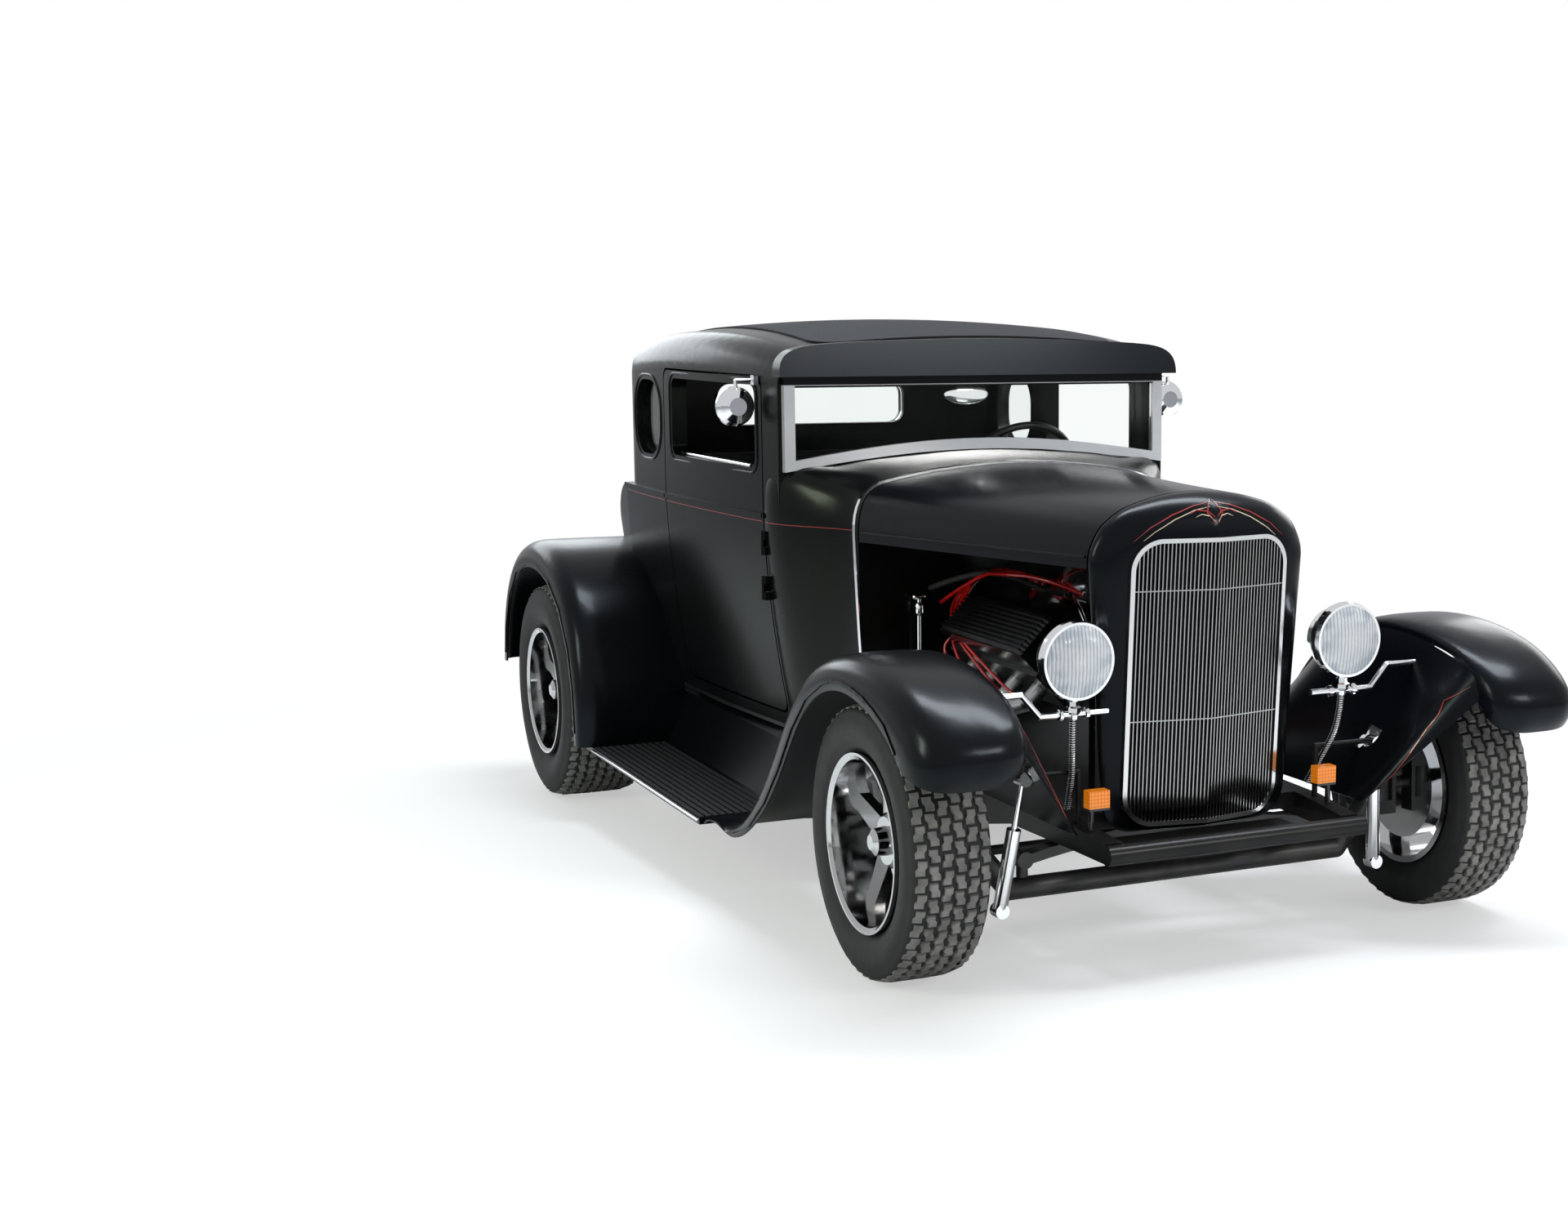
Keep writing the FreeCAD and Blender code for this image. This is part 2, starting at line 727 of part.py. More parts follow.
def front_suspension():
    """Transverse leaf spring with its shackles, and the two radius rods."""
    mount_z = raked_z(-SPRING_WIDTH / 2, RAIL_TOP_Z - CROSSMEMBER_HEIGHT)
    top = [
        Vector(-SPRING_HALF, -SPRING_WIDTH / 2, SPRING_EYE_Z + SPRING_THICKNESS / 2),
        Vector(0, -SPRING_WIDTH / 2, mount_z - RUNNING_GAP),
        Vector(SPRING_HALF, -SPRING_WIDTH / 2, SPRING_EYE_Z + SPRING_THICKNESS / 2),
    ]
    low = [point.sub(Vector(0, 0, SPRING_THICKNESS)) for point in top]
    edges = [
        arc(top[0], top[1], top[2]),
        line(top[2], low[2]),
        arc(low[2], low[1], low[0]),
        line(low[0], top[0]),
    ]
    leaf = Part.Face(Part.Wire(edges)).extrude(Vector(0, SPRING_WIDTH, 0))
    pieces = [leaf]
    for x in (-SPRING_HALF, SPRING_HALF):
        eye = Vector(x, -SPRING_WIDTH / 2, SPRING_EYE_Z)
        pieces.append(rod(eye, eye.add(Vector(0, SPRING_WIDTH, 0)), SPRING_EYE_RADIUS))
        perch = Vector(x, 0, AXLE_LOW_Z + AXLE_TUBE_RADIUS + RUNNING_GAP)
        pieces.append(rod(perch, Vector(x, 0, SPRING_EYE_Z), SPRING_EYE_RADIUS - RIM_WALL))
    whole = [fused(pieces)]
    for side in (-1, 1):
        start_y = AXLE_TUBE_RADIUS + RUNNING_GAP + RADIUS_ROD_RADIUS * ROD_TILT_SHARE
        start = Vector(side * (AXLE_STRAIGHT_HALF - RADIUS_ROD_RADIUS), start_y, AXLE_LOW_Z)
        end_z = raked_z(RADIUS_ROD_END_Y, RAIL_TOP_Z - RAIL_HEIGHT) - RADIUS_ROD_RADIUS
        end = Vector(side * RADIUS_ROD_END_X, RADIUS_ROD_END_Y, end_z - RUNNING_GAP)
        whole.append(rod(start, end, RADIUS_ROD_RADIUS))
    return whole


def raked_z(y, z):
    """Height over the road of a point of the level drawing."""
    turn = math.radians(RAKE_DEG)
    return y * math.sin(turn) + (z - RAKE_PIVOT.z) * math.cos(turn) + RAKE_PIVOT.z


def shock_absorbers():
    pieces = []
    for side in (-1, 1):
        low = Vector(side * SHOCK_LOW_X, SHOCK_LOW_Y, SHOCK_LOW_Z)
        high = Vector(side * SHOCK_HIGH_X, SHOCK_HIGH_Y, SHOCK_HIGH_Z)
        run = high.sub(low)
        middle = low.add(Vector(run).multiply(SHOCK_BODY_SHARE))
        half = Vector(0, SHOCK_EYE_LENGTH / 2, 0)
        pieces.append(
            fused(
                [
                    rod(low.sub(half), low.add(half), SHOCK_EYE_RADIUS),
                    rod(low, middle, SHOCK_RADIUS),
                    rod(middle, high, SHOCK_ROD_RADIUS),
                    rod(high.sub(half), high.add(half), SHOCK_EYE_RADIUS),
                ]
            )
        )
    return pieces


# Frame


def rail_side():
    """The left rail seen from the side: horn, straight run and kick over the rear axle."""
    horn_top = HORN_Z + SPREADER_RADIUS
    top = RAIL_TOP_Z
    kick_end = RAIL_KICK_Y + RAIL_KICK_RUN
    upper = [
        (RAIL_FRONT_Y, horn_top),
        (RAIL_FRONT_Y + HORN_RUN, top),
        (RAIL_KICK_Y, top),
        (kick_end, top + RAIL_KICK_RISE),
        (RAIL_REAR_Y, top + RAIL_KICK_RISE),
    ]
    lower = [
        (RAIL_REAR_Y, top + RAIL_KICK_RISE - RAIL_TAIL_HEIGHT),
        (kick_end, top + RAIL_KICK_RISE - RAIL_HEIGHT),
        (RAIL_KICK_Y, top - RAIL_HEIGHT),
        (RAIL_NECK_Y + HORN_RUN, top - RAIL_HEIGHT),
        (RAIL_NECK_Y, top - RAIL_NECK_HEIGHT),
        (RAIL_FRONT_Y + HORN_RUN, top - RAIL_NECK_HEIGHT),
        (RAIL_FRONT_Y, HORN_Z - SPREADER_RADIUS),
    ]
    return upper + lower


def rail_half(y):
    """Half the width over the rails at a station along the car."""
    share = (y - RAIL_FRONT_Y) / (RAIL_SPREAD_Y - RAIL_FRONT_Y)
    return RAIL_FRONT_HALF + (RAIL_REAR_HALF - RAIL_FRONT_HALF) * min(share, 1)


def horn_top_z(y):
    """Top of the frame horn, which falls towards the spreader bar."""
    share = min((y - RAIL_FRONT_Y) / HORN_RUN, 1)
    low = HORN_Z + SPREADER_RADIUS
    return low + (RAIL_TOP_Z - low) * share


def frame():
    points = [Vector(0, y, z) for y, z in rail_side()]
    wide = prism(points, Vector(RAIL_REAR_HALF + OVERRUN, 0, 0))
    plan = []
    for y, half in (
        (RAIL_FRONT_Y, RAIL_FRONT_HALF),
        (RAIL_SPREAD_Y, RAIL_REAR_HALF),
        (RAIL_REAR_Y, RAIL_REAR_HALF),
    ):
        plan.append(Vector(half, y, 0))
    inner = [point.sub(Vector(RAIL_WIDTH, 0, 0)) for point in plan[::-1]]
    column = prism(plan + inner, Vector(0, 0, RAIL_TOP_Z * 2))
    rail = wide.common(column)
    pieces = pair(rail)
    pieces.append(
        rod(
            Vector(-SPREADER_HALF, SPREADER_Y, HORN_Z),
            Vector(SPREADER_HALF, SPREADER_Y, HORN_Z),
            SPREADER_RADIUS,
        )
    )
    half_depth = CROSSMEMBER_DEPTH / 2
    for y, top in ((0, RAIL_TOP_Z), (REAR_CROSSMEMBER_Y, RAIL_TOP_Z + RAIL_KICK_RISE)):
        half = rail_half(y) - RAIL_WIDTH / 2
        pieces.append(
            block(
                Vector(-half, y - half_depth, top - CROSSMEMBER_HEIGHT),
                Vector(half, y + half_depth, top),
            )
        )
    bracket = block(
        Vector(GEARBOX_HALF + RUNNING_GAP, CENTRE_CROSSMEMBER_Y - half_depth, GEARBOX_LOW_Z),
        Vector(
            rail_half(CENTRE_CROSSMEMBER_Y) - RAIL_WIDTH / 2,
            CENTRE_CROSSMEMBER_Y + half_depth,
            GEARBOX_LOW_Z + CROSSMEMBER_HEIGHT,
        ),
    )
    pieces += pair(bracket)
    for side in (-1, 1):
        high = unraked(Vector(side * SHOCK_HIGH_X, SHOCK_HIGH_Y, SHOCK_HIGH_Z))
        outer = high.add(Vector(0, SHOCK_EYE_LENGTH / 2 + SHOCK_ROD_RADIUS + RUNNING_GAP, 0))
        foot = Vector(side * (rail_half(outer.y) - RAIL_WIDTH / 2), outer.y, RAIL_TOP_Z)
        elbow = Vector(foot.x, outer.y, outer.z)
        pieces.append(bent_tube([foot.sub(Vector(0, 0, RAIL_WIDTH)), elbow, outer], SHOCK_ROD_RADIUS))
    return fused(pieces)


# Engine and driveline


def engine_block():
    rear = ENGINE_FRONT_Y + ENGINE_LENGTH
    pieces = [
        block(
            Vector(-ENGINE_HALF, ENGINE_FRONT_Y, ENGINE_BOTTOM_Z),
            Vector(ENGINE_HALF, rear, ENGINE_TOP_Z),
        )
    ]
    for side in (-1, 1):
        pieces.append(head(side, HEAD_WIDTH, HEAD_HEIGHT, HEAD_LENGTH, 0))
    gearbox = block(
        Vector(-GEARBOX_HALF, rear, GEARBOX_LOW_Z),
        Vector(GEARBOX_HALF, rear + GEARBOX_LENGTH, GEARBOX_HIGH_Z),
    )
    pieces.append(gearbox)
    return fused(pieces)


def head(side, width, height, length, lift):
    """A block square to one bank of cylinders, lifted off the block's deck."""
    front = ENGINE_FRONT_Y + (ENGINE_LENGTH - length) / 2
    shape = block(
        Vector(-width / 2, front, lift - HEAD_HEIGHT / 2),
        Vector(width / 2, front + length, lift - HEAD_HEIGHT / 2 + height),
    )
    shape.rotate(ORIGIN, Y_AXIS, side * HEAD_TILT_DEG)
    shape.translate(Vector(side * HEAD_CENTRE_X, 0, HEAD_CENTRE_Z))
    return shape


def valve_covers():
    pieces = []
    lift = HEAD_HEIGHT + RUNNING_GAP
    for side in (-1, 1):
        width = HEAD_WIDTH - COVER_INSET * 2
        cover = head(side, width, COVER_HEIGHT - COVER_INSET, HEAD_LENGTH - COVER_INSET * 2, lift)
        fins = []
        pitch = width / (COVER_FIN_COUNT + 1)
        front = ENGINE_FRONT_Y + (ENGINE_LENGTH - HEAD_LENGTH) / 2 + COVER_INSET * 2
        for index in range(COVER_FIN_COUNT):
            x = -width / 2 + pitch * (index + 1)
            low = lift - HEAD_HEIGHT / 2 + COVER_HEIGHT - COVER_INSET * 2
            fin = block(
                Vector(x - COVER_FIN / 2, front, low),
                Vector(x + COVER_FIN / 2, front + HEAD_LENGTH - COVER_INSET * 4, low + COVER_INSET * 2),
            )
            fin.rotate(ORIGIN, Y_AXIS, side * HEAD_TILT_DEG)
            fin.translate(Vector(side * HEAD_CENTRE_X, 0, HEAD_CENTRE_Z))
            fins.append(fin)
        pieces.append(fused([cover] + fins))
    return pieces


def induction():
    middle = ENGINE_FRONT_Y + ENGINE_LENGTH / 2
    top = ENGINE_TOP_Z + RUNNING_GAP
    manifold = block(
        Vector(-INTAKE_HALF, middle - INTAKE_HALF * 2, top),
        Vector(INTAKE_HALF, middle + INTAKE_HALF * 2, top + INTAKE_HEIGHT),
    )
    carb_top = top + INTAKE_HEIGHT + CARB_HEIGHT
    carb = block(
        Vector(-CARB_HALF, middle - CARB_HALF, top + INTAKE_HEIGHT),
        Vector(CARB_HALF, middle + CARB_HALF, carb_top),
    )
    filter_base = Vector(0, middle, carb_top)
    cleaner = rod(filter_base, filter_base.add(Vector(0, 0, FILTER_HEIGHT)), FILTER_RADIUS)
    return fused([manifold, carb, cleaner])


def port_y(index):
    pitch = HEAD_LENGTH / PORT_COUNT
    front = ENGINE_FRONT_Y + (ENGINE_LENGTH - HEAD_LENGTH) / 2
    return front + pitch * (index + 0.5)


def header_port():
    """Middle of the outer face of the left head, where the pipes bolt on."""
    turn = math.radians(HEAD_TILT_DEG)
    x = HEAD_CENTRE_X + HEAD_WIDTH / 2 * math.cos(turn)
    z = HEAD_CENTRE_Z - HEAD_WIDTH / 2 * math.sin(turn)
    return x, z


def exhaust():
    """Four short pipes into a collector on each side, then a pipe and a muffler to each side."""
    x, z = header_port()
    turn = math.radians(HEAD_TILT_DEG)
    out = Vector(math.cos(turn), 0, -math.sin(turn))
    pieces = []
    collect_y = ENGINE_FRONT_Y + ENGINE_LENGTH + HEADER_OUT
    low = Vector(x + HEADER_OUT / 2, collect_y, z - HEADER_DROP)
    for index in range(PORT_COUNT):
        port = Vector(x, port_y(index), z).add(Vector(out).multiply(RUNNING_GAP))
        knee = port.add(Vector(out).multiply(HEADER_OUT / 2))
        pieces.append(bent_tube([port, knee, low], HEADER_RADIUS))
    pipe_z = EXHAUST_Z
    turn_y = collect_y + HEADER_DROP
    route = [
        low,
        Vector(EXHAUST_X, turn_y, pipe_z),
        Vector(EXHAUST_X, EXHAUST_END_Y, pipe_z),
        Vector(SPLASH_ROLL_X, EXHAUST_END_Y + HEADER_OUT, pipe_z - EXHAUST_RADIUS * 2),
    ]
    pieces.append(bent_tube(route, EXHAUST_RADIUS))
    muffler = Vector(EXHAUST_X, MUFFLER_Y, pipe_z)
    pieces.append(rod(muffler, muffler.add(Vector(0, MUFFLER_LENGTH, 0)), MUFFLER_RADIUS))
    one = fused(pieces)
    return pair(one)


def front_drive():
    """Radiator, fan, pump pulley, crank pulley and alternator ahead of the engine."""
    radiator = block(
        Vector(-RADIATOR_HALF, 0, RAIL_TOP_Z + RUNNING_GAP),
        Vector(RADIATOR_HALF, RADIATOR_DEPTH, RADIATOR_TOP_Z),
    )
    radiator.translate(Vector(0, SHELL_REAR_Y + RUNNING_GAP, 0))
    crank = Vector(0, ENGINE_FRONT_Y - RUNNING_GAP, SHAFT_Z + PULLEY_RADIUS)
    pump = Vector(0, ENGINE_FRONT_Y - RUNNING_GAP, HEAD_CENTRE_Z - PUMP_RADIUS)
    nose = Vector(0, PULLEY_DEPTH, 0)
    pieces = [
        rod(crank, crank.sub(nose), PULLEY_RADIUS),
        rod(pump, pump.sub(nose), PUMP_RADIUS),
    ]
    fan_centre = pump.sub(nose)
    fan_parts = [rod(fan_centre, fan_centre.sub(Vector(0, FAN_DEPTH, 0)), PUMP_RADIUS / 2)]
    for index in range(FAN_BLADES):
        blade = block(
            Vector(-FAN_BLADE_WIDTH / 2, -FAN_BLADE_BACK, 0),
            Vector(FAN_BLADE_WIDTH / 2, -FAN_BLADE_FRONT, FAN_RADIUS),
        )
        blade.rotate(ORIGIN, Y_AXIS, FULL_TURN / FAN_BLADES * index)
        blade.translate(fan_centre)
        fan_parts.append(blade)
    pieces += fan_parts
    drive = fused(pieces)
    bracket = Vector(ENGINE_HALF, ENGINE_FRONT_Y - RUNNING_GAP, ENGINE_TOP_Z - ALTERNATOR_RADIUS)
    start = bracket.sub(Vector(0, ALTERNATOR_LENGTH / 2, 0))
    alternator = rod(bracket, start, ALTERNATOR_RADIUS)
    return [radiator, drive.fuse(alternator).removeSplitter()]


def rear_axle():
    centre = Vector(0, REAR_AXLE_Y, REAR_TYRE_RADIUS)
    seat_x = REAR_HUB_INNER - RUNNING_GAP * 2
    left = Vector(seat_x - REAR_AXLE_FLANGE, REAR_AXLE_Y, REAR_TYRE_RADIUS)
    right = Vector(-left.x, left.y, left.z)
    pieces = [rod(left, right, REAR_AXLE_TUBE_RADIUS), Part.makeSphere(DIFF_RADIUS, centre, X_AXIS)]
    for side in (-1, 1):
        inner = Vector(side * left.x, left.y, left.z)
        outer = Vector(side * seat_x, left.y, left.z)
        pieces.append(rod(inner, outer, REAR_AXLE_FLANGE_RADIUS))
        tip = Vector(side * spindle_end(REAR_HUB_INNER), left.y, left.z)
        pieces.append(rod(outer, tip, SPINDLE_RADIUS))
        spring_y = REAR_AXLE_Y
        foot = Vector(side * COILOVER_X, spring_y, REAR_TYRE_RADIUS)
        head_z = raked_z(spring_y, RAIL_TOP_Z + RAIL_KICK_RISE)
        pieces.append(rod(foot, Vector(foot.x, foot.y, head_z), SHOCK_ROD_RADIUS * 2))
    shaft_start = ENGINE_FRONT_Y + ENGINE_LENGTH + GEARBOX_LENGTH
    start_z = raked_z(shaft_start, SHAFT_Z)
    start = Vector(0, shaft_start + SHAFT_END_GAP, start_z)
    pieces.append(rod(start, centre, DRIVESHAFT_RADIUS))
    return fused(pieces)


# Radiator shell and grille


def shell_outline(inset, y):
    """The shell's outline seen from the front, rounded below and arched on top."""
    half = SHELL_HALF - inset
    low_half = SHELL_BOTTOM_HALF - inset
    bottom = SHELL_BOTTOM_Z + inset
    corner = SHELL_BOTTOM_CORNER - inset
    side = arch_points(HOOD_FRONT_SHARES, half, SHELL_SHOULDER_Z, SHELL_TOP_Z - inset, y)
    low = math.sqrt(0.5)
    corner_x = low_half - corner
    corner_z = bottom + corner
    left_corner = [
        Vector(low_half, y, corner_z),
        Vector(corner_x + corner * low, y, corner_z - corner * low),
        Vector(corner_x, y, bottom),
    ]
    right_corner = [Vector(-p.x, p.y, p.z) for p in left_corner[::-1]]
    edges = [
        spline(side),
        line(side[-1], left_corner[0]),
        arc(*left_corner),
        line(left_corner[2], right_corner[0]),
        arc(*right_corner),
        line(right_corner[2], side[0]),
    ]
    return Part.Wire(edges)


HOOD_FRONT_SHARES = [
    (1.0, 0.0),
    (0.985, 0.18),
    (0.947, 0.34),
    (0.888, 0.51),
    (0.814, 0.625),
    (0.702, 0.755),
    (0.561, 0.85),
    (0.386, 0.93),
    (0.20, 0.98),
]

HOOD_REAR_SHARES = [
    (1.0, 0.0),
    (0.998, 0.18),
    (0.985, 0.38),
    (0.955, 0.56),
    (0.895, 0.70),
    (0.768, 0.80),
    (0.626, 0.868),
    (0.45, 0.925),
    (0.23, 0.978),
]

SCREEN_BASE_SHARES = [
    (1.0, 0.0),
    (0.999, 0.20),
    (0.997, 0.40),
    (0.99, 0.56),
    (0.965, 0.70),
    (0.80, 0.80),
    (0.64, 0.862),
    (0.45, 0.925),
    (0.23, 0.978),
]


def arch_points(shares, half, low, top, y):
    """Points of an arch from the right foot over the middle to the left foot."""
    left = [Vector(half * across, y, low + (top - low) * up) for across, up in shares]
    right = [Vector(-p.x, p.y, p.z) for p in left]
    return right + [Vector(0, y, top)] + left[::-1]


def v_wedge(front, back):
    """The space between two V-shaped leaning walls, offsets measured rearwards from the grille."""
    reach = SHELL_HALF + OVERRUN
    lean = math.tan(math.radians(GRILLE_LEAN_DEG))
    height = SHELL_TOP_Z + OVERRUN
    base_y = SHELL_FRONT_TOP_Y + lean * (GRILLE_TOP_Z)
    slope = GRILLE_V_DEPTH / GRILLE_HALF
    points = [
        Vector(-reach, base_y + slope * reach + front, 0),
        Vector(0, base_y + front, 0),
        Vector(reach, base_y + slope * reach + front, 0),
        Vector(reach, base_y + slope * reach + back, 0),
        Vector(0, base_y + back, 0),
        Vector(-reach, base_y + slope * reach + back, 0),
    ]
    return prism(points, Vector(0, -lean * height, height))


def grille_opening(inset):
    low = Vector(-GRILLE_HALF + inset, SHELL_FRONT_TOP_Y - OVERRUN, GRILLE_BOTTOM_Z + inset)
    high = Vector(GRILLE_HALF - inset, SHELL_REAR_Y + OVERRUN, GRILLE_TOP_Z - inset)
    return rounded_plate(low, high, GRILLE_CORNER - inset, Y_AXIS)


def grille_shell():
    reach = Vector(0, SHELL_FRONT_TOP_Y - SHELL_REAR_Y - OVERRUN, 0)
    outer = Part.Face(shell_outline(0, SHELL_REAR_Y)).extrude(reach)
    inner = Part.Face(shell_outline(SHELL_WALL, SHELL_REAR_Y + OVERRUN)).extrude(
        reach.sub(Vector(0, OVERRUN, 0))
    )
    depth = SHELL_REAR_Y - SHELL_FRONT_TOP_Y + OVERRUN * 3
    solid = outer.common(v_wedge(GRILLE_TRIM_DEPTH / 2, depth))
    hollow = inner.common(v_wedge(GRILLE_TRIM_DEPTH / 2 + SHELL_WALL, depth + OVERRUN))
    shell = solid.cut(hollow).cut(grille_opening(0))
    return fused([shell, hood_ledge(SHELL_REAR_Y - SHELL_WALL, SHELL_REAR_Y + LEDGE_REACH)])


def grille_bars():
    """Upright bars with two cross bars, inside a trim ring that follows the V of the shell."""
    reach = GRILLE_HALF - GRILLE_TRIM_WIDTH
    pitch = 2 * reach / (GRILLE_BAR_COUNT + 1)
    front = SHELL_FRONT_TOP_Y - OVERRUN
    rear = SHELL_REAR_Y + OVERRUN
    bars = []
    for index in range(GRILLE_BAR_COUNT):
        x = -reach + pitch * (index + 1)
        bars.append(
            block(
                Vector(x - GRILLE_BAR / 2, front, GRILLE_BOTTOM_Z),
                Vector(x + GRILLE_BAR / 2, rear, GRILLE_TOP_Z),
            )
        )
    height = GRILLE_TOP_Z - GRILLE_BOTTOM_Z
    for share in GRILLE_CROSS_SHARES:
        z = GRILLE_BOTTOM_Z + height * share
        bars.append(
            block(
                Vector(-reach - GRILLE_BAR, front, z),
                Vector(reach + GRILLE_BAR, rear, z + GRILLE_BAR),
            )
        )
    field = v_wedge(GRILLE_BAR, GRILLE_BAR_DEPTH)
    opening = grille_opening(GRILLE_TRIM_WIDTH - GRILLE_BAR)
    comb = fused(bars).common(field).common(opening)
    ring = grille_opening(RUNNING_GAP).cut(grille_opening(GRILLE_TRIM_WIDTH))
    ring = ring.common(v_wedge(0, GRILLE_TRIM_DEPTH))
    return fused([ring, comb])


# Hood and cowl


def hood_section(shares, half, low, top, y, inset):
    points = arch_points(shares, half - inset, low, top - inset, y)
    foot = Vector(0, 0, HOOD_LIP)
    start = points[0].sub(foot)
    end = points[-1].sub(foot)
    edges = [line(start, points[0]), spline(points), line(points[-1], end), line(end, start)]
    return Part.Wire(edges)


def hood_solid(inset, front_y, rear_y):
    """The hood's outer or inner form, straight from the shell to the cowl."""
    span = COWL_FRONT_Y - SHELL_REAR_Y
    wires = []
    for y in (front_y, rear_y):
        share = (y - SHELL_REAR_Y) / span
        half = SHELL_HALF + (COWL_HALF - SHELL_HALF) * share
        low = SHELL_SHOULDER_Z + (COWL_SHOULDER_Z - SHELL_SHOULDER_Z) * share
        top = SHELL_TOP_Z + (COWL_TOP_Z - SHELL_TOP_Z) * share
        shares = []
        for (xa, za), (xb, zb) in zip(HOOD_FRONT_SHARES, HOOD_REAR_SHARES):
            shares.append((xa + (xb - xa) * share, za + (zb - za) * share))
        wires.append(hood_section(shares, half, low, top, y, inset))
    return Part.makeLoft(wires, True, True)


def hood():
    front = SHELL_REAR_Y + HOOD_GAP
    rear = COWL_FRONT_Y - HOOD_GAP
    outer = hood_solid(0, front, rear)
    inner = hood_solid(HOOD_SHEET, front - OVERRUN, rear + OVERRUN)
    lower = inner.copy()
    lower.translate(Vector(0, 0, -HOOD_SHEET * 2))
    return outer.cut(inner.fuse(lower))


def hood_ledge(front_y, rear_y):
    """The lip under an end of the hood, on which the hood rests."""
    lip = HOOD_SHEET + RUNNING_GAP * 2
    outer = hood_solid(lip, front_y, rear_y)
    inner = hood_solid(lip + LEDGE_SHEET, front_y - OVERRUN, rear_y + OVERRUN)
    lower = inner.copy()
    lower.translate(Vector(0, 0, -LEDGE_SHEET * 2))
    return outer.cut(inner.fuse(lower))


def side_half(y):
    return SIDE_MAX_HALF - (y - SIDE_MAX_Y) ** 2 / (2 * SIDE_ARC_RADIUS)


def sunk_edges(foot, mirror_foot, sunk):
    """The bottom of a closed section, with its sides run straight down when it is a cutting tool."""
    if sunk == 0:
        return [line(foot, mirror_foot)]
    deep = foot.sub(Vector(0, 0, sunk))
    mirror_deep = mirror_foot.sub(Vector(0, 0, sunk))
    return [line(foot, deep), line(deep, mirror_deep), line(mirror_deep, mirror_foot)]


def cowl_section(y, half, tuck, shares, low, top, inset, sunk):
    arch = arch_points(shares, half - inset, low, top - inset, y)
    foot = Vector(half - tuck - inset, y, BODY_BOTTOM_Z)
    mirror_foot = Vector(-foot.x, foot.y, foot.z)
    middle_z = (BODY_BOTTOM_Z + low) / 2
    bulge = Vector(half - tuck * SIDE_BULGE_SHARE - inset, y, middle_z)
    mirror_bulge = Vector(-bulge.x, bulge.y, bulge.z)
    edges = [
        spline([mirror_foot, mirror_bulge, arch[0]]),
        spline(arch),
        spline([arch[-1], bulge, foot]),
    ]
    return Part.Wire(edges + sunk_edges(foot, mirror_foot, sunk))


def cowl_solid(inset, front_y, sunk):
    rear_y = DOOR_FRONT_Y - PANEL_GAP
    rows = [
        (front_y, COWL_HALF, COWL_TUCK, HOOD_REAR_SHARES, COWL_SHOULDER_Z, COWL_TOP_Z),
        (
            (front_y + SCREEN_Y) / 2,
            (COWL_HALF + side_half(SCREEN_Y)) / 2 - BODY_WALL / 6,
            (COWL_TUCK + BODY_TUCK) / 2,
            HOOD_REAR_SHARES,
            (COWL_SHOULDER_Z + BELT_Z) / 2,
            (COWL_TOP_Z + SCREEN_BASE_Z) / 2,
        ),
        (SCREEN_Y, side_half(SCREEN_Y), BODY_TUCK, SCREEN_BASE_SHARES, BELT_Z, SCREEN_BASE_Z),
        (rear_y, side_half(rear_y), BODY_TUCK, SCREEN_BASE_SHARES, BELT_Z, SCREEN_BASE_Z),
    ]
    wires = []
    for y, half, tuck, shares, low, top in rows:
        wires.append(cowl_section(y, half, tuck, shares, low, top, inset, sunk))
    return Part.makeLoft(wires, True, False)


def cowl():
    outer = cowl_solid(0, COWL_FRONT_Y, 0)
    inner = cowl_solid(COWL_WALL, COWL_FRONT_Y, OVERRUN)
    shell = outer.cut(inner)
    inside = outer.common(
        block(
            Vector(-COWL_HALF, COWL_FRONT_Y, BODY_BOTTOM_Z),
            Vector(COWL_HALF, COWL_FRONT_Y + FIREWALL_THICKNESS, COWL_TOP_Z),
        )
    )
    room = tunnel_form(FLOOR_SHEET + RUNNING_GAP, COWL_FRONT_Y + OVERRUN)
    pieces = [shell, inside.cut(room), hood_ledge(COWL_FRONT_Y - LEDGE_REACH, COWL_FRONT_Y + RUNNING_GAP)]
    hinge_x = hinge_centre_x()
    for z in HINGE_HEIGHTS:
        for side in (-1, 1):
            pieces.append(hinge_leaf(side * hinge_x, z - HINGE_LENGTH, z - RUNNING_GAP, side, -1))
            low = z + HINGE_LENGTH + RUNNING_GAP
            pieces.append(hinge_leaf(side * hinge_x, low, z + HINGE_LENGTH * 2, side, -1))
    return fused(pieces)


# Cab


def cab_outline(inset, z):
    """The cab's outline from above: straight front, arched sides, round rear corners."""
    front_y = SCREEN_Y + inset
    rear_y = CAB_REAR_Y - inset
    corner_y = CAB_CORNER_Y
    middle_y = (front_y + corner_y) / 2
    front = Vector(side_half(front_y) - inset, front_y, z)
    middle = Vector(side_half(middle_y) - inset, middle_y, z)
    corner = Vector(side_half(corner_y) - inset, corner_y, z)
    radius = rear_y - CAB_REAR_BULGE - corner_y
    low = math.sqrt(0.5)
    turn = Vector(corner.x - radius + radius * low, corner_y + radius * low, z)
    back = Vector(corner.x - radius, corner_y + radius, z)
    left = [front, middle, corner, turn, back]
    right = [Vector(-p.x, p.y, p.z) for p in left]
    edges = [
        line(right[0], left[0]),
        arc(left[0], left[1], left[2]),
        arc(left[2], left[3], left[4]),
        arc(left[4], Vector(0, rear_y, z), right[4]),
        arc(right[4], right[3], right[2]),
        arc(right[2], right[1], right[0]),
    ]
    return Part.Wire(edges)


